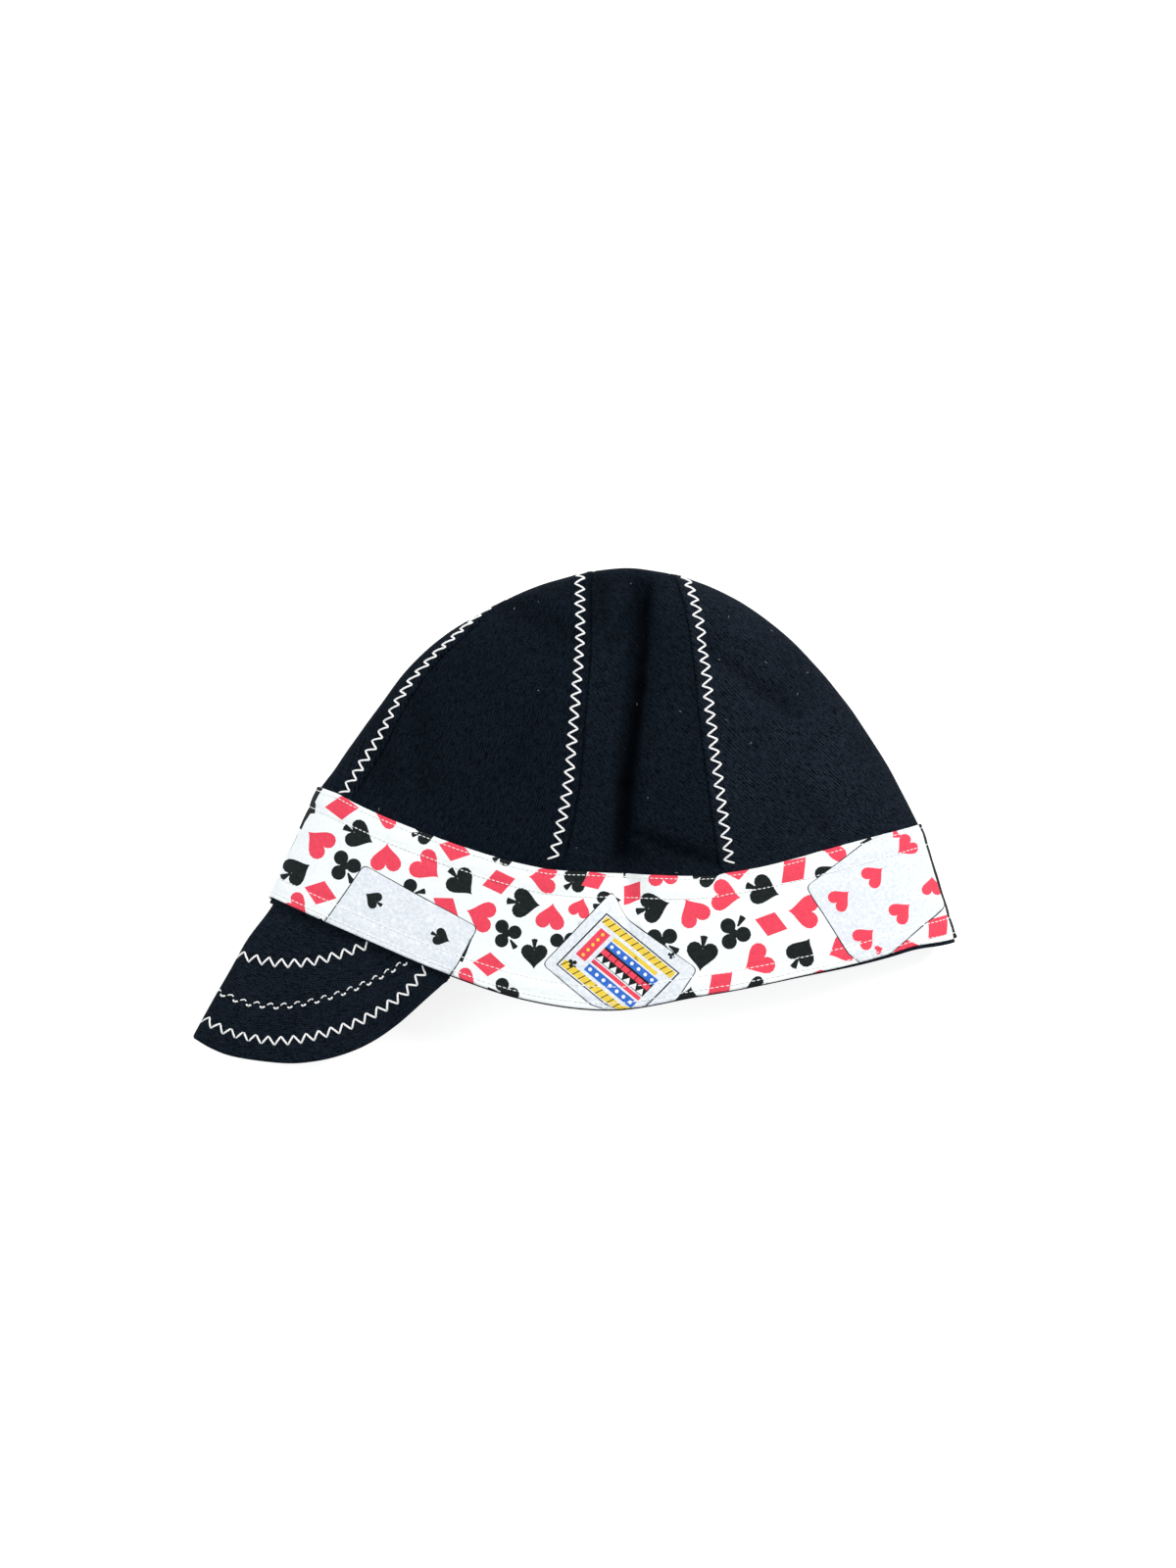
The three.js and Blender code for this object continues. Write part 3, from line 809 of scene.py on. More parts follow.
def lay_gore(k):
    """The gore from seam k to the next, as a piece of cloth."""
    at, sways, name, finish, columns, rows, zig_before = SEAMS[k]
    next_at, next_sways, *_, next_before = SEAMS[(k + 1) % len(SEAMS)]
    next_at += 360 if k + 1 == len(SEAMS) else 0
    t = np.linspace(0, 1, columns + 1)
    share = (t - 0.8 * np.sin(2 * np.pi * t) / (2 * np.pi))[:, None]
    start = gore_start(np.radians(lerp(at, next_at, share)))
    level = lerp(start, 2, np.linspace(0, 1, rows + 1)[None, :])
    turn = lerp(seam_turn(at, sways, level), seam_turn(next_at, next_sways, level), share)
    points = cap_face(turn, level)
    across, run = lengths_along(points, 0), lengths_along(points, 1)
    width = across[-1:]
    # Both gores of a seam count along that seam itself, so their edges rise and fall together
    relief = seam_relief(across, run[:1], level, not zig_before, k)
    relief = relief + seam_relief(width - across, run[-1:], level, next_before, (k + 1) % len(SEAMS))
    run = np.broadcast_to(run[len(t) // 2], across.shape)
    off_the_fold = np.abs(points[..., 2] - PLACE[2] - FOLD_HEIGHT)
    relief = relief * (0.35 + 0.65 * smooth(off_the_fold / (7 * mm)))
    lumps = 0.6 * mm * soft_noise(points, 34 * mm, 2) + 0.25 * mm * soft_noise(points, 12 * mm, 9)
    creased, sunk = crease_at(points - PLACE)
    on_crown = smooth((level - 1) / 0.05)
    below_band = smooth((1 - level) / 0.08) * smooth((level - 0.1) / 0.1)
    relief = relief + (lumps + creased) * on_crown - UNDER_BAND_DROP * below_band
    # Painted shade: how far the colour is darkened, by the depth of the creases and dents
    painted_shade = np.clip(0.26 * sunk * on_crown, 0, 0.9)
    points = above_table(points + normals_of(points) * relief[..., None], CLOTH_GAP)
    flat = np.stack([across - width / 2, run], -1)
    laid = points, flat, painted_shade
    if zig_before:
        laid = run_on(*laid, 0)
    if not next_before:
        laid = run_on(*laid, -1)
    piece = lay_sheet(name + "_cloth", laid[0], laid[1], CLOTH, [finish], laid[2])
    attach(piece, "root")
    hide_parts(name)
    return piece, points, across


gores = [lay_gore(k) for k in range(len(SEAMS))]

# %% [markdown]
# ## The zigzag
# Topstitching is thread that lies on the cloth from one needle hole to the next. One stitch is
# modelled once, as a six-sided thread with rings along it, and stamped from hole to hole. The
# ends of each stitch dive into the cloth, and its middle stands proud, as real thread does.

# %% One stitch, lying along X from -0.5 to 0.5
nothing_selected()
bpy.ops.mesh.primitive_cylinder_add(vertices=6, radius=0.5, depth=1, rotation=(0, math.pi / 2, 0))
stitch = bpy.context.object
stitch.name = "stitch_pattern"
bpy.ops.object.transform_apply(location=False, rotation=True, scale=False)
bpy.ops.object.mode_set(mode="EDIT")
bpy.ops.mesh.select_mode(type="EDGE")
bpy.ops.mesh.select_all(action="DESELECT")
bpy.ops.object.mode_set(mode="OBJECT")
for edge in stitch.data.edges:
    ends = [stitch.data.vertices[v].co.x for v in edge.vertices]
    edge.select = abs(ends[0] - ends[1]) > 0.5
bpy.ops.object.mode_set(mode="EDIT")
bpy.ops.mesh.subdivide(number_cuts=4)
bpy.ops.mesh.select_mode(type="VERT")
bpy.ops.object.mode_set(mode="OBJECT")
stitch_spots = np.array([v.co[:] for v in stitch.data.vertices])
stitch_faces = [list(p.vertices) for p in stitch.data.polygons]
bpy.data.objects.remove(stitch)
print("one stitch:", len(stitch_spots), "corners,", len(stitch_faces), "faces")


# %% Stamp stitches from hole to hole
def sew(name, starts, ends, ups, radius, lift, material):
    """One mesh of stitches, each from a start to an end, with the cloth's normal there."""
    span = ends - starts
    side = unit(np.cross(ups, span))
    x = stitch_spots[:, 0]
    arch = lift * (1 - (2 * x) ** 2) - 0.5 * radius
    taper = np.clip(2.2 * (1 - (2 * x) ** 6), 0.7, 1)
    middle = (starts + ends) / 2
    spots = middle[:, None] + x[None, :, None] * span[:, None]
    spots = spots + ups[:, None] * (arch + 2 * radius * taper * stitch_spots[:, 2])[None, :, None]
    spots = spots + side[:, None] * (2 * radius * taper * stitch_spots[:, 1])[None, :, None]
    count = len(stitch_spots)
    faces = [[v + k * count for v in face] for k in range(len(starts)) for face in stitch_faces]
    piece = mesh_piece(name, above_table(spots, LEAST_GAP), faces, [material])
    on_whole_mesh(piece, bpy.ops.mesh.normals_make_consistent, inside=False)
    piece.data.shade_smooth()
    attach(piece, "root")
    return piece


THREAD = 0.41 * mm
THREAD_LIFT = 0.5 * mm


def beside_seam(gore, from_end, away, at_run):
    """Points on a gore at a distance from one of its seams, at places along that seam."""
    _, points, across = gore
    distance = across[-1:] - across if from_end else across
    edge = points[-1] if from_end else points[0]
    edge_run = lengths_along(edge[None], 1)[0]
    rows = np.interp(at_run, edge_run, np.arange(len(edge_run)))
    found = []
    for row, apart in zip(rows, away):
        low = min(int(row), len(edge_run) - 2)
        pair = []
        for j in (low, low + 1):
            d = distance[:, j]
            order = np.argsort(d)
            pair.append([np.interp(apart, d[order], points[order, j, c]) for c in range(3)])
        found.append(lerp(np.array(pair[0]), np.array(pair[1]), row - low))
    return np.array(found)


def swings(count):
    """Half a step to one side, half a step to the other, and so on."""
    return np.where(np.arange(count) % 2 == 0, 0.5, -0.5)


def zigzag_beside(gore, from_end, name):
    """The zigzag along a gore's seam, from the band's top edge to the apex."""
    points = gore[1][-1] if from_end else gore[1][0]
    level = np.linspace(-BELOW_RIM, 2, len(points))
    edge_run = lengths_along(points[None], 1)[0]
    start, stop = np.interp([1.0, ZIGZAG_TOP], level, edge_run)
    runs = np.arange(start, stop, ZIGZAG_PITCH / 2)
    rng = random.Random(name)
    runs = runs + np.array([rng.uniform(-0.25, 0.25) * mm for _ in runs])
    swing = swings(len(runs)) * ZIGZAG_WIDTH
    swing = swing + np.array([rng.uniform(-0.15, 0.15) * mm for _ in runs])
    holes = beside_seam(gore, from_end, ZIGZAG_FROM_SEAM + swing, runs)
    inner = beside_seam(gore, from_end, ZIGZAG_FROM_SEAM + swing - 0.5 * mm, runs)
    later = beside_seam(gore, from_end, ZIGZAG_FROM_SEAM + swing, runs + 0.5 * mm)
    ups = unit(np.cross(inner - holes, later - holes))
    # Outward is up above the fold and down below it
    above_fold = holes[:, 2:] - 0.8 * FOLD_HEIGHT
    ups = np.where(ups[:, 2:] * above_fold < 0, -ups, ups)
    return sew(name, holes[:-1], holes[1:], (ups[:-1] + ups[1:]) / 2, THREAD, THREAD_LIFT, thread_white)


for k, (*_, zig_before) in enumerate(SEAMS):
    gore = gores[k - 1] if zig_before else gores[k]
    row = zigzag_beside(gore, zig_before, f"zigzag_seam_{k + 1}")
    print(row.name, len(row.data.polygons), "faces")

# %% [markdown]
# Black cotton picks up lint. A few short fibres lie where the photograph shows them, and more are
# scattered. They are stamped like stitches, only much finer.

# %% Lint
LINT_PX = [
    (743, 628), (787, 643), (814, 711), (525, 620), (387, 823),
    (733, 672), (823, 686), (765, 759), (651, 717),
]
LINT_COUNT = 110
LINT_RADIUS, LINT_LIFT = 0.1 * mm, 0.15 * mm
lint, tree, shader = new_material("lint")
place = add_node(tree, "ShaderNodeTexCoord").outputs["Object"]
tint = mixed(tree, cloud(tree, place, 0.3 * mm), (0.10, 0.115, 0.13, 1), (0.42, 0.45, 0.47, 1))
tree.links.new(tint, shader.inputs["Base Color"])
shader.inputs["Roughness"].default_value = 0.9

rng = random.Random(21)
upper = np.concatenate([points[2:-2, 16:-6].reshape(-1, 3) for _, points, _ in gores])
outer = np.concatenate([normals_of(points)[2:-2, 16:-6].reshape(-1, 3) for _, points, _ in gores])
shown = seen_at(upper) + 1e4 * (upper[:, 2:] < PLACE[2] + FOLD_HEIGHT)
at = [int(np.argmin(((shown - p) ** 2).sum(1))) for p in LINT_PX]
sizes = [1.2 * mm] * len(at)
at += [rng.randrange(len(upper)) for _ in range(LINT_COUNT)]
sizes += [rng.uniform(0.4, 1.3) * mm for _ in range(LINT_COUNT)]
ways = np.array([[rng.uniform(-1, 1), rng.uniform(-1, 1), rng.uniform(-1, 1)] for _ in at])
ways = np.cross(ways, outer[at])
ways *= (np.array(sizes) / np.linalg.norm(ways, axis=1))[:, None]
lint_ends = upper[at] - ways / 2, upper[at] + ways / 2
fibres = sew("crown_lint", *lint_ends, outer[at], LINT_RADIUS, LINT_LIFT, lint)
print("lint:", len(at), "fibres")

# %% [markdown]
# ## The band
# The band is one strip of printed cotton, sewn round the lower part of the crown. A real print is
# flat ink on flat cloth, so the print is cut into the flat strip first: every heart, spade, club
# and diamond is an outline on the strip, and the faces inside it take that ink. Only then is the
# strip wrapped round the cap, and the print bends, folds and disappears over the edges with it.

# %% The band's own face, and its flat measures
BAND_FLAT_HEIGHT = 47 * mm
BAND_OUT = LAYER_GAP + CLOTH
BAND_JOIN = math.radians(236)
CROWN_PER_BAND = 0.17


def lifted(face, turn, level, lift):
    """A place above a surface, measured straight out from it."""
    step = 1e-3
    by_turn = face(turn + step, level) - face(turn - step, level)
    by_level = face(turn, level + step) - face(turn, level - step)
    out = unit(np.cross(by_turn, by_level))
    return face(turn, level) + out * np.asarray(lift)[..., None]


def band_ground(turn, level):
    """The surface under the band. Above level 1 it runs up the crown, whose levels are longer."""
    turn, level = np.broadcast_arrays(np.asarray(turn, float), np.asarray(level, float))
    near_top, near_rim = smooth((level - 0.6) / 0.4), smooth((0.4 - level) / 0.4)
    level = level + top_rise(turn) * near_top + rim_rise(turn) * near_rim
    return cap_face(turn, np.where(level > 1, 1 + CROWN_PER_BAND * (level - 1), level))


def on_band(turn, level):
    return lifted(band_ground, turn, level, BAND_OUT)


mid_turns = BAND_JOIN + np.radians(np.linspace(-360, 0, 1441))
mid_line = on_band(mid_turns, 0.5)
mid_run = lengths_along(mid_line[None], 1)[0]
mid_run = mid_run - np.interp(0, mid_turns, mid_run)
BAND_START, BAND_END = mid_run[0], mid_run[-1]


def run_of(turn):
    return np.interp(turn, mid_turns, mid_run)


def turn_of(run):
    return np.interp(run, mid_run, mid_turns)


print("the band is cut", round((BAND_END - BAND_START) / mm), "by", round(BAND_FLAT_HEIGHT / mm), "mm")

# %% [markdown]
# The outlines of the four suits are drawn once, pointing up, one unit from the middle to the tip.


# %% Outlines of the four suits
def polygon_run(corners, per_side):
    """Points along a polygon's sides, several to each side, so that it can bend."""
    corners = np.asarray(corners, float)
    after = np.roll(corners, -1, axis=0)
    steps = np.arange(per_side)[:, None] / per_side
    return np.concatenate([a + (b - a) * steps for a, b in zip(corners, after)])


def circle_run(x, y, radius, count=16):
    t = np.arange(count) / count * 2 * np.pi
    return np.stack([x + radius * np.cos(t), y + radius * np.sin(t)], -1)


def heart_run(width, length):
    t = np.arange(26) / 26 * 2 * np.pi
    up = -(13 * np.cos(t) - 5 * np.cos(2 * t) - 2 * np.cos(3 * t) - np.cos(4 * t)) / 17
    return np.stack([-width * np.sin(t) ** 3, length * (up - 0.12)], -1)


STEM = [(-0.05, -0.46), (-0.21, -1.12), (0, -1.17), (0.21, -1.12), (0.05, -0.46)]
SUITS = {
    "heart": [heart_run(0.94, 1.0)],
    "spade": [heart_run(0.88, 0.96), polygon_run(STEM, 3)],
    "club": [
        circle_run(0, 0.6, 0.47),
        circle_run(-0.53, -0.2, 0.47),
        circle_run(0.53, -0.2, 0.47),
        circle_run(0, 0.05, 0.3, 10),
        polygon_run(STEM, 3),
    ],
    "diamond": [polygon_run([(0, 1.08), (-0.8, 0), (0, -1.08), (0.8, 0)], 6)],
}
SUIT_INK = {"heart": "coral_ink", "diamond": "coral_ink", "spade": "black_ink", "club": "black_ink"}


def turned(outline, degrees, size):
    """An outline turned so that its tip points to an angle, 0 right and 90 up."""
    a = math.radians(degrees - 90)
    spin = np.array([[math.cos(a), math.sin(a)], [-math.sin(a), math.cos(a)]])
    return outline @ spin * size


# %% [markdown]
# Each mark of the print is placed by where it shows in the photograph: its middle in pixels, and
# the way that its tip points.

# %% Marks of the print: suit, middle in pixels, where the tip points in degrees, size in pixels
MARKS = [
    # the left part, between the front fold and the middle card
    ("diamond", 349, 824, -1, 16),
    ("heart", 325, 859, 135, 17),
    ("heart", 394, 831, 165, 15),
    ("spade", 368, 853, -29, 17),
    ("heart", 394, 875, 86, 17),
    ("club", 352, 884, 114, 16),
    ("heart", 436, 885, -42, 18),
    ("spade", 436, 849, 10, 14),
    ("diamond", 464, 867, -18, 15.5),
    ("spade", 472, 902, -49, 17.5),
    ("diamond", 509, 900, 11, 16),
    ("spade", 517, 870, 30, 14),
    ("heart", 554, 896, 174, 17),
    ("spade", 537, 922, -8, 17.5),
    ("heart", 490, 934, 160, 17.3),
    ("heart", 562, 935, 80, 16),
    ("club", 517, 953, 122, 15),
    ("spade", 545, 976, -92, 15.5),
    ("diamond", 499, 984, -6, 15.5),
    ("heart", 475, 1003, -35, 15),
    ("club", 514, 1013, -10, 15),
    ("spade", 304, 888, 24, 16.5),
    ("diamond", 327, 911, -19, 16),
    ("heart", 303, 926, -40, 15),
    ("club", 417, 912, 189, 15),
    ("diamond", 455, 926, -38, 15),
    ("spade", 325, 943, 60, 9),
    ("club", 576, 964, 150, 15),
    # the right part, between the middle card and the back
    ("spade", 590, 896, 37, 15),
    ("diamond", 606, 898, 23, 13),
    ("heart", 592, 926, 70, 12),
    ("spade", 622, 921, 14, 15),
    ("diamond", 645, 911, 54, 13.5),
    ("heart", 676, 890, 97, 16.5),
    ("spade", 669, 925, 15, 18),
    ("heart", 707, 930, 121, 17.3),
    ("spade", 724, 892, 10, 15),
    ("diamond", 752, 887, 10, 14),
    ("heart", 741, 914, -8, 17.5),
    ("spade", 781, 909, -16, 18),
    ("diamond", 810, 888, 47, 17),
    ("heart", 850, 864, 182, 16.5),
    ("spade", 846, 892, 45, 15),
    ("heart", 820, 930, 178, 18.5),
    ("diamond", 787, 943, -16, 16),
    ("club", 749, 952, 241, 16.8),
    ("heart", 773, 981, 212, 18),
    ("spade", 819, 970, 60, 17.5),
    ("heart", 858, 969, 205, 16),
    ("heart", 844, 1001, -90, 14),
    ("diamond", 926, 969, 12, 14),
    ("diamond", 957, 946, 52, 15),
    ("spade", 716, 976, -97, 18.5),
    ("diamond", 735, 1004, 44, 16),
    ("spade", 703, 1018, 80, 14),
    ("spade", 770, 1008, 190, 13),
    ("heart", 642, 950, 100, 15),
    ("club", 676, 961, 148, 16.5),
]
# Marks on the cards
CARD_MARKS = [
    ("spade", 380, 917, 143, 10.5),
    ("spade", 451, 957, -26, 10.5),
    ("heart", 892, 893, 40, 13),
    ("heart", 858, 917, 42, 13),
    ("heart", 920, 930, 42, 13),
    ("heart", 883, 956, 42, 13),
    ("heart", 924, 864, 222, 12.5),
    ("heart", 951, 904, 90, 11.5),
    ("heart", 914, 852, 225, 5),
    ("heart", 897, 969, 20, 5),
    ("club", 584, 983, 130, 4.6),
    ("club", 685, 975, 150, 3.6),
]
# Playing cards: corners in pixels, in order round the card
CARDS = [
    [(371, 882), (488, 946), (447, 1022), (326, 948)],
    [(822, 905), (903, 843), (940, 812), (985, 830), (985, 908), (905, 977), (882, 1000)],
    [(624, 909), (641, 938), (712, 989), (690, 1022), (622, 1042), (553, 984)],
]
CARD_CORNER = 6
CARD_LINE = 1.1

# %% [markdown]
# The middle card is an ornament of stripes, dots and triangles inside a frame. All of it is set
# out on the frame's own two directions, so it is a drawing of a few straight shapes.

# %% The middle card's ornament: its frame, and strokes inside it
FRAME_TOP, FRAME_RIGHT, FRAME_LEFT = (619, 933), (692, 993), (569, 984)


def in_frame(right, down):
    """A pixel in the card's frame, by the share of the way to its right and left corners."""
    top, to_right, to_left = (np.array(p, float) for p in (FRAME_TOP, FRAME_RIGHT, FRAME_LEFT))
    return top + right * (to_right - top) + down * (to_left - top)


def box_run(right, down, to_right, to_down):
    corners = [(right, down), (to_right, down), (to_right, to_down), (right, to_down)]
    return polygon_run([in_frame(*corner) for corner in corners], 6)


def stroke(start, stop, width):
    """A straight stroke between two pixels."""
    start, stop = np.array(start, float), np.array(stop, float)
    side = np.array([start[1] - stop[1], stop[0] - start[0]])
    side *= width / 2 / np.linalg.norm(side)
    return polygon_run([start - side, stop - side, stop + side, start + side], 4)


BOXES = [
    # ink, then the shares right and down where the box starts and stops
    ("black_ink", -0.012, -0.015, 1.012, 1.015),
    ("card_ground", 0.004, 0.004, 0.996, 0.998),
    ("yellow_ink", 0.02, 0.02, 0.98, 0.13),
    ("yellow_ink", 0.02, 0.87, 0.98, 0.98),
    ("coral_ink", 0.06, 0.2, 0.19, 0.72),
    ("yellow_ink", 0.24, 0.18, 0.84, 0.24),
    ("blue_ink", 0.24, 0.26, 0.9, 0.37),
    ("black_ink", 0.24, 0.37, 0.9, 0.4),
    ("coral_ink", 0.24, 0.4, 0.9, 0.48),
    ("black_ink", 0.24, 0.48, 0.9, 0.59),
    ("coral_ink", 0.24, 0.61, 0.9, 0.67),
    ("blue_ink", 0.24, 0.7, 0.9, 0.82),
]
ORNAMENT = [(ink, box_run(*box)) for ink, *box in BOXES]
# Slanted strokes along the two yellow borders
for k in range(12):
    share = 0.06 + 0.08 * k
    for down, to_down in ((0.02, 0.13), (0.87, 0.98)):
        ORNAMENT.append(("black_ink", stroke(in_frame(share, down), in_frame(share - 0.03, to_down), 1.0)))
# Dots and triangles along the stripes
for k in range(7):
    middle = 0.29 + 0.093 * k
    ORNAMENT.append(("white_ground", circle_run(*in_frame(middle, 0.315), 1.9, 10)))
    ORNAMENT.append(("white_ground", circle_run(*in_frame(middle, 0.76), 2.0, 10)))
    tooth = [in_frame(middle - 0.04, 0.58), in_frame(middle + 0.04, 0.58), in_frame(middle, 0.49)]
    ORNAMENT.append(("white_ground", polygon_run(tooth, 3)))
    bar = stroke(in_frame(middle + 0.045, 0.4), in_frame(middle + 0.045, 0.48), 0.9)
    ORNAMENT.append(("black_ink", bar))
for k in range(5):
    ORNAMENT.append(("yellow_ink", circle_run(*in_frame(0.125, 0.26 + 0.1 * k), 1.8, 10)))


# %% Gather every outline on the flat strip, the later on top of the earlier
def to_flat(pixels):
    """Outlines seen in the photograph, as places on the flat strip: run along it, height up it."""
    spot = on_cloth(on_band, pixels, (math.radians(0.5), math.radians(179.5)), (-0.3, 1.3))
    return np.stack([run_of(spot[:, 0]), spot[:, 1] * BAND_FLAT_HEIGHT], -1)


def seen_mark(suit, px, py, degrees, size):
    flip = np.array([1, -1])
    return [np.array([px, py]) + turned(part, degrees, size) * flip for part in SUITS[suit]]


def rounded(corners, radius, inset=0.0):
    """A polygon with rounded corners, drawn smaller by an inset."""
    corners = np.asarray(corners, float)
    middle = corners.mean(0)
    outline = []
    for k, here in enumerate(corners):
        before, after = corners[k - 1], corners[(k + 1) % len(corners)]
        start = here + unit(before - here) * radius
        ahead = unit(after - here) * radius
        stop = here + ahead
        for t in (0, 0.25, 0.5, 0.75, 1):
            outline.append(lerp(lerp(start, here, t), lerp(here, stop, t), t))
        outline.extend(lerp(stop, after - ahead, t) for t in (0.25, 0.5, 0.75))
    outline = np.array(outline)
    return outline - unit(outline - middle) * inset


prints = []


def draw(ink, *outlines):
    """Print outlines that are given in pixels."""
    prints.extend((ink, to_flat(outline)) for outline in outlines)


for suit, *placed in MARKS:
    draw(SUIT_INK[suit], *seen_mark(suit, *placed))
# The edges of two marks, one beside the first card and one above the second, and painted shade in black
# ink at the pleat's mouth
for start, stop, width in (
    ((482, 951), (470, 981), 4.5),
    ((878.5, 862), (889.5, 855.5), 4.2),
    # Painted shade: the dark mouth of the pleat, as a short black stroke
    ((636.5, 889), (636.8, 896), 1.4),
):
    draw("black_ink", stroke(start, stop, width))
# A mark and a card that come round the front fold
FOLD_MARK_PX = [
    (307.5, 846.5), (311, 839), (316.5, 830), (321, 830), (322.5, 820), (321.5, 819), (329, 804),
]
fold_mark = to_flat(np.array(FOLD_MARK_PX))
fold_mark_back = [(-3 * mm, fold_mark[-1][1]), (-3 * mm, fold_mark[0][1])]
prints.append(("black_ink", polygon_run(np.concatenate([fold_mark, fold_mark_back]), 2)))
FOLD_CARD = np.array([(-16, 31), (4, 27), (0.8, 14), (-19, 18)]) * mm
prints.append(("black_ink", rounded(FOLD_CARD, 3 * mm)))
prints.append(("white_ground", rounded(FOLD_CARD, 3 * mm, 0.35 * mm)))
for corners in CARDS:
    draw("black_ink", rounded(corners, CARD_CORNER))
    draw("card_ground", rounded(corners, CARD_CORNER, CARD_LINE))
for ink, outline in ORNAMENT:
    draw(ink, outline)
for suit, *placed in CARD_MARKS:
    draw(SUIT_INK[suit], *seen_mark(suit, *placed))

# The two ends of the print meet at the back, and a narrow strip of black ink runs down the band there,
# along the back fold
back_strip = [(run_of(np.radians(a)), h) for a, h in ((172.8, 0), (184, 0), (184, 1), (172.8, 1))]
prints.append(("black_ink", polygon_run(np.array(back_strip) * [1, BAND_FLAT_HEIGHT], 12)))

# The side that lies on the table carries the same print, scattered
MARK_SPACING = 15.6 * mm
rng = random.Random(7)
hidden_spans = [(BAND_START + 6 * mm, -6 * mm), (run_of(np.pi) + 9 * mm, BAND_END - 5 * mm)]
hidden_runs = np.concatenate([np.arange(*span, MARK_SPACING) for span in hidden_spans])
for i, run in enumerate(hidden_runs):
    for j in range(3):
        suit = ("heart", "spade", "diamond", "club")[(i + 2 * j + rng.randrange(2)) % 4]
        middle = np.array([run + rng.uniform(-2, 2) * mm, (j + 0.5 * (i % 2) + 0.25) * MARK_SPACING])
        degrees = rng.uniform(0, 360)
        parts = [middle + turned(part, degrees, 6.1 * mm) for part in SUITS[suit]]
        prints += [(SUIT_INK[suit], part) for part in parts]
print(len(prints), "outlines on the strip")

# %% [markdown]
# Now the strip is cut into faces. A Delaunay triangulation takes a net of points and all the
# outlines, and makes triangles that never cross an outline. Each triangle then knows which
# outlines it lies in, and takes the ink of the topmost.


# %% Cut the strip
NET_FINE, NET_COARSE = 1.5 * mm, 3.0 * mm
HEIGHTS = np.concatenate([[0, 0.2, 0.5, 0.9], np.arange(2, 46, 1.4), [46.1, 46.5, 46.8, 47]]) * mm

back_edge = run_of(np.pi)
run_steps = [BAND_START]
while run_steps[-1] < BAND_END - NET_COARSE:
    shown = -6 * mm < run_steps[-1] < back_edge + 6 * mm
    run_steps.append(run_steps[-1] + (NET_FINE if shown else NET_COARSE))
run_steps.append(BAND_END)
spots = [(run, height) for run in run_steps for height in HEIGHTS]
drawn_edges, outlines = [], []
for ink, outline in prints:
    outline = outline.copy()
    outline[:, 0] = np.clip(outline[:, 0], BAND_START + 0.1 * mm, BAND_END - 0.1 * mm)
    outline[:, 1] = np.clip(outline[:, 1], 0, BAND_FLAT_HEIGHT)
    first, count = len(spots), len(outline)
    spots += [tuple(p) for p in outline]
    drawn_edges += [(first + k, first + (k + 1) % count) for k in range(count)]
    outlines.append((ink_names.index(ink), outline))
cut = delaunay_2d_cdt([Vector((x / mm, y / mm)) for x, y in spots], drawn_edges, [], 0, 1e-4)
cut_spots = np.array([v[:] for v in cut[0]]) * mm
cut_faces = [list(f) for f in cut[2]]


def inside(outline, places):
    """Which places lie inside an outline: those with an odd number of its sides to their right."""
    odd = np.zeros(len(places), bool)
    for (ax, ay), (bx, by) in zip(outline, np.roll(outline, -1, axis=0)):
        if ay == by:
            continue
        beside = (ay > places[:, 1]) != (by > places[:, 1])
        odd ^= beside & (places[:, 0] < ax + (places[:, 1] - ay) * (bx - ax) / (by - ay))
    return odd


middles = np.array([cut_spots[face].mean(0) for face in cut_faces])
cut_inks = np.zeros(len(cut_faces), int)
for ink, outline in outlines:
    low, high = outline.min(0), outline.max(0)
    near = np.flatnonzero(((middles >= low) & (middles <= high)).all(1))
    cut_inks[near[inside(outline, middles[near])]] = ink
print("the strip has", len(cut_spots), "corners and", len(cut_faces), "faces")

# %% [markdown]
# The strip has its own relief: the two hems are four layers thick, the rows of stitches pull the
# cloth in, and it bubbles a little between them. Near the middle a pleat runs down from the top.

# %% Relief of the band, and wrapping it round the cap
HEM_TOP, HEM_BOTTOM = 8.2 * mm, 8.4 * mm
HEM_HEIGHT = 0.22 * mm
ROW_WIDTH = 1.3 * mm
BAND_EDGE_ROUND, BAND_EDGE_DROP = 0.8 * mm, 0.55 * mm
JOIN_FADE = 6 * mm
ROW_NEAR_TOP, ROW_NEAR_BOTTOM = 1.6 * mm, 2.2 * mm
STITCH_ROWS = [
    BAND_FLAT_HEIGHT - ROW_NEAR_TOP,
    BAND_FLAT_HEIGHT - HEM_TOP,
    HEM_BOTTOM,
    ROW_NEAR_BOTTOM,
]
PLEAT_PX = (637, 895)
pleat_run = to_flat([PLEAT_PX])[0, 0]


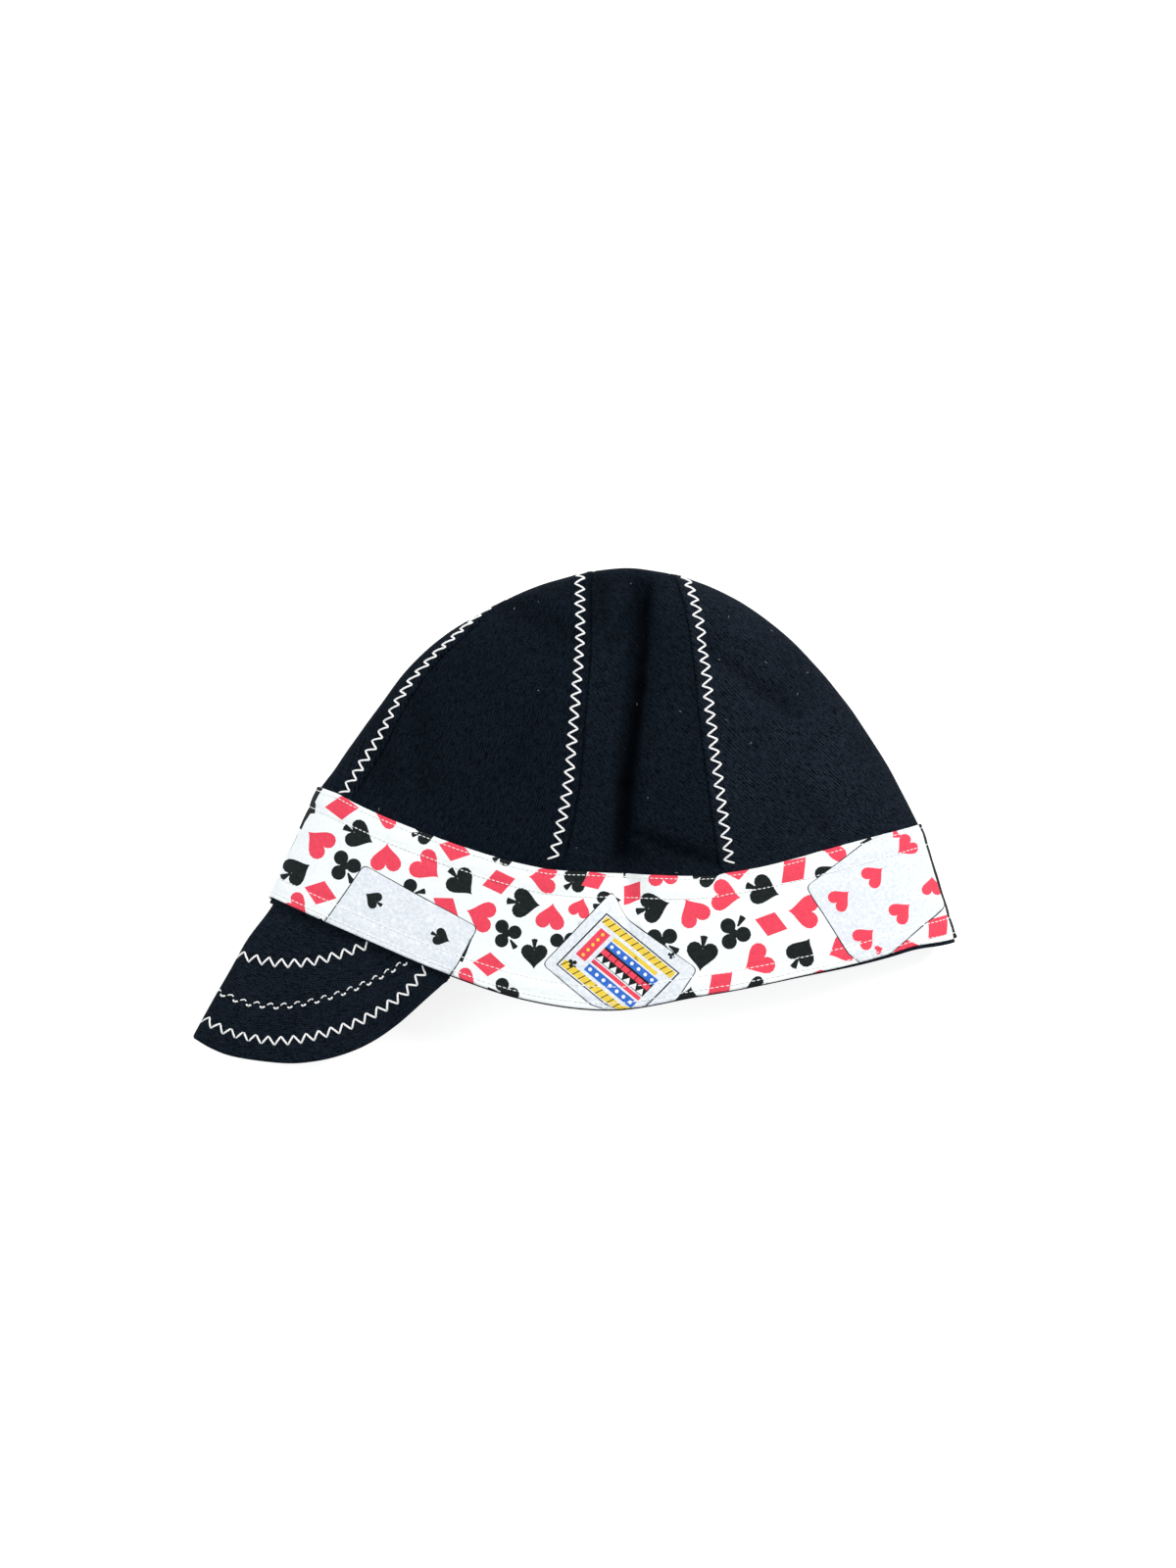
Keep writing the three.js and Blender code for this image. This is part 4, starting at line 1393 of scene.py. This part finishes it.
def band_relief(run, height):
    """How far the band's cloth stands out from its plain surface."""
    relief = np.zeros_like(run)
    for row in STITCH_ROWS:
        pucker = 0.5 + 0.5 * np.sin(run / (1.25 * mm) + 1.7 * np.sin(run / (6.5 * mm) + row * 900))
        relief -= (0.2 + 0.1 * pucker) * mm * bell((height - row) / ROW_WIDTH)
    in_hem = np.maximum(HEM_BOTTOM - height, height - BAND_FLAT_HEIGHT + HEM_TOP)
    relief += HEM_HEIGHT * smooth(in_hem / mm + 0.5)
    flat3 = np.stack([run, height, np.zeros_like(run)], -1)
    bubbles = 0.28 * mm * soft_noise(flat3, 9 * mm, 3)
    relief += bubbles + 0.1 * mm * soft_noise(flat3 * [1, 0.6, 1], 3.5 * mm, 5)
    # The pleat: a sharp notch at the top, and a valley and a ridge that run further down
    slope = (height - BAND_FLAT_HEIGHT) * 0.05
    across = (run - pleat_run - slope) / mm
    fade = smooth((height - 0.3 * BAND_FLAT_HEIGHT) / (0.35 * BAND_FLAT_HEIGHT))
    notch = smooth((height - 0.72 * BAND_FLAT_HEIGHT) / (0.2 * BAND_FLAT_HEIGHT))
    relief -= 1.1 * mm * bell(across) * notch
    relief -= 0.9 * mm * bell((across - 2.5) / 3) * fade
    relief += 0.5 * mm * bell((across + 2.4) / 2.2) * fade
    # The two ends lie flat where they join, and the edges round over
    joined = smooth(np.minimum(run - BAND_START, BAND_END - run) / JOIN_FADE)
    from_edge = np.minimum(height, BAND_FLAT_HEIGHT - height)
    return relief * joined - rolled_edge(from_edge, BAND_EDGE_ROUND, BAND_EDGE_DROP)


def band_spots(run, height, above=0.0):
    lift = BAND_OUT + band_relief(run, height) + above
    return lifted(band_ground, turn_of(run), height / BAND_FLAT_HEIGHT, lift)


band_points = above_table(band_spots(cut_spots[:, 0], cut_spots[:, 1]), LEAST_GAP)
band = mesh_piece("band_cloth", band_points, cut_faces, inks)
mesh = band.data
mesh.polygons.foreach_set("material_index", cut_inks)
mesh.uv_layers.new(name="cloth")
keep_flat(mesh, cut_spots)
on_whole_mesh(band, bpy.ops.mesh.remove_doubles, threshold=WELD)
thicken(band, CLOTH)
mesh.shade_smooth()
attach(band, "root")
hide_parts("band")
print("band:", len(mesh.polygons), "faces")

# %% [markdown]
# Four rows of straight stitches hold the hems. Each stitch is a short thread with a gap after it.

# %% Straight stitches of the band
STITCH_PITCH = 1.95 * mm
STITCH_LENGTH = 1.35 * mm
FINE_THREAD, FINE_LIFT = 0.19 * mm, 0.2 * mm
STITCH_ABOVE = 0.16 * mm

runs = np.arange(BAND_START + mm, BAND_END - 2 * mm, STITCH_PITCH)
rows = [row + 0.12 * mm * np.sin(runs / (23 * mm) + row * 300) for row in STITCH_ROWS]
starts = np.concatenate([band_spots(runs, row, STITCH_ABOVE) for row in rows])
ends = np.concatenate([band_spots(runs + STITCH_LENGTH, row, STITCH_ABOVE) for row in rows])
above = np.concatenate([band_spots(runs, row, STITCH_ABOVE + mm) for row in rows])
ups = (above - starts) / mm
straight = sew("band_stitches", starts, ends, ups, FINE_THREAD, FINE_LIFT, thread_white)
print("band stitches:", len(straight.data.polygons), "faces")

# %% [markdown]
# ## The bill
# The bill is two layers of the black cotton over a soft filling, sewn under the band and folded
# along its middle. It is laid the same way as the gores, and thickened on the inside.


# %% The bill's surface: level 1 under the band, 0 at the rim, -1 at the outer edge
bill_steps = np.linspace(0, 1, 200)
bill_fine = through(BILL_ACROSS, bill_steps)
bill_edge = through(BILL_DOWN, bill_steps)


def bill_face(turn, level):
    turn, level = np.broadcast_arrays(np.asarray(turn, float), np.asarray(level, float))
    tucked = band_face(turn, np.maximum(level, 0) * BILL_TUCK / BAND_RISE)
    root = band_face(turn, np.zeros_like(turn))
    side = np.sin(turn)
    fold_down = np.array([-math.sin(BILL_LEAN), -math.cos(BILL_LEAN)])
    fold_across = np.array([-fold_down[1], fold_down[0]])
    down = root[..., 0] * fold_down[0] + root[..., 1] * fold_down[1]
    across = root[..., 0] * fold_across[0] + root[..., 1] * fold_across[1]
    edge = np.interp(np.maximum(0, across / BILL_HALF_WIDTH), bill_fine, bill_edge) * BILL_REACH
    slid = -level * np.maximum(BILL_LEAST_REACH, edge - down)
    line = lerp(FOLD_HEIGHT, BILL_TIP_HEIGHT, slid / BILL_REACH)
    settled = smooth(slid / BILL_SETTLES)
    drop = line - lerp(UNDER_BAND, -BILL_INSET, settled)
    swell = BILL_SWELL * settled * np.cos(turn) ** 2
    x = root[..., 0] + slid * fold_down[0] - swell * fold_across[0]
    y = root[..., 1] + slid * fold_down[1] - swell * fold_across[1]
    z = np.where(side >= 0, root[..., 2] - FOLD_HEIGHT + line, line - rolled_under(side, drop))
    reached = np.stack([x, y, z], -1)
    return np.where((level > 0)[..., None], tucked, reached) + PLACE


def on_bill(turn, level, above=0.0):
    return lifted(bill_face, turn, level, above - BILL_INSET)


BILL_COLUMNS, BILL_ROWS = 76, 44
BILL_EDGE_ROUND, BILL_EDGE_DROP = 1.3 * mm, 0.9 * mm
corner_tries = np.radians(np.linspace(20, 150, 1301))
corner_roots = band_face(corner_tries, np.zeros_like(corner_tries))
corner_across = corner_roots[:, 0] * math.cos(BILL_LEAN) - corner_roots[:, 1] * math.sin(BILL_LEAN)
BILL_CORNER = np.interp(BILL_HALF_WIDTH, corner_across, corner_tries)

t = np.linspace(-1, 1, 2 * BILL_COLUMNS + 1)
bill_turns = BILL_CORNER * (t - 0.5 * np.sin(2 * np.pi * t) / (2 * np.pi))[:, None]
t = np.linspace(0, 1, BILL_ROWS + 1)
bill_levels = np.concatenate([-1 + t ** 1.25, [0.5, 1]])[None, :]
bill_turns, bill_levels = np.broadcast_arrays(bill_turns, bill_levels)
points = on_bill(bill_turns, bill_levels)
across, run = lengths_along(points, 0), lengths_along(points, 1)
relief = 0.45 * mm * soft_noise(points, 26 * mm, 12) * smooth(-bill_levels * 4)
relief = relief - rolled_edge(run, BILL_EDGE_ROUND, BILL_EDGE_DROP)
points = above_table(points + normals_of(points) * relief[..., None], CLOTH_GAP)
bill = lay_sheet("bill_cloth", points, np.stack([across, run], -1), BILL_THICKNESS, [bill_twill])
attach(bill, "root")
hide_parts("bill")
print("bill:", len(bill.data.polygons), "faces")

# %% [markdown]
# Three rows of stitching run round the bill. The middle one is sewn with black thread above and
# white below, so only the small loops of the white thread show, at each turn of the zigzag.

# %% Rows of the bill, each as a line of pixels
BILL_ROW_TOP = [(242, 974), (267, 980), (290, 983), (313, 982), (333, 978), (356, 971), (378, 963)]
BILL_ROW_MIDDLE = [
    (222, 1012), (238, 1019), (254, 1024), (282, 1027), (310, 1024),
    (338, 1017), (366, 1007), (389, 996), (412, 983),
]
BILL_ROW_LOW = [
    (206, 1038), (222, 1048), (239, 1055), (267, 1061), (290, 1062), (313, 1059),
    (343, 1051), (369, 1041), (397, 1025), (415, 1011), (432, 991), (440, 977),
]
BILL_ZIGZAG_PX, BILL_SWING_PX = 6.6, 4.7
LOOP_PITCH_PX = 14
# The white loops at the two turns of the black zigzag. Places are in pixels, ahead on the row and aside.
LOOPS = [
    # name, middle, thread radius, lift, stitches from place to place round the middle
    ("bill_loops_high", (0, -2.4), 0.27 * mm, 0.35 * mm, [(-3.4, 1.4, 1.2, -0.9), (1.2, -0.9, 3.0, 0.6)]),
    ("bill_loops_low", (6.2, 2.6), 0.38 * mm, 0.45 * mm, [(-2.6, -1.7, 0, 0), (0, 0, 2.6, -2.0)]),
]


def steps_along(line, pitch):
    """Points in even steps along a line, with the directions ahead and aside there."""
    t = np.linspace(0, 1, 200)
    line = np.stack([through(pixels, t) for pixels in np.array(line, float).T], -1)
    gone = np.concatenate([[0], np.cumsum(np.linalg.norm(np.diff(line, axis=0), axis=1))])
    at = np.arange(0, gone[-1], pitch)
    spots = np.stack([np.interp(at, gone, line[:, c]) for c in (0, 1)], -1)
    ahead = np.stack([np.interp(at + 1, gone, line[:, c]) for c in (0, 1)], -1) - spots
    ahead[-1] = ahead[-2]
    ahead = unit(ahead)
    return spots, ahead, np.stack([-ahead[:, 1], ahead[:, 0]], -1)


def bill_stitches(name, from_px, to_px, radius, lift):
    """Stitches on both halves of the folded bill, placed by pixels on the upper half."""
    spans = []
    for pixels in (from_px, to_px):
        spot = on_cloth(on_bill, pixels, (math.radians(0.6), BILL_CORNER), (-1, 0))
        turn, level = np.concatenate([spot, spot * [-1, 1]]).T
        spans.append(on_bill(turn, level))
    ups = (on_bill(turn, level, mm) - spans[1]) / mm
    rows = sew(name, *spans, ups, radius, lift, thread_white)
    print(name, len(rows.data.polygons), "faces")


for name, line in (("bill_zigzag_upper", BILL_ROW_TOP), ("bill_zigzag_lower", BILL_ROW_LOW)):
    spots, _, side = steps_along(line, BILL_ZIGZAG_PX)
    holes = spots + side * (swings(len(spots))[:, None] * 2 * BILL_SWING_PX)
    bill_stitches(name, holes[:-1], holes[1:], THREAD, THREAD_LIFT)

spots, ahead, side = steps_along(BILL_ROW_MIDDLE, LOOP_PITCH_PX)
for name, (along, aside), radius, lift, stitches in LOOPS:
    middle = spots + ahead * along + side * aside
    begins = np.concatenate([middle + ahead * a + side * b for a, b, _, _ in stitches])
    stops = np.concatenate([middle + ahead * a + side * b for _, _, a, b in stitches])
    bill_stitches(name, begins, stops, radius, lift)
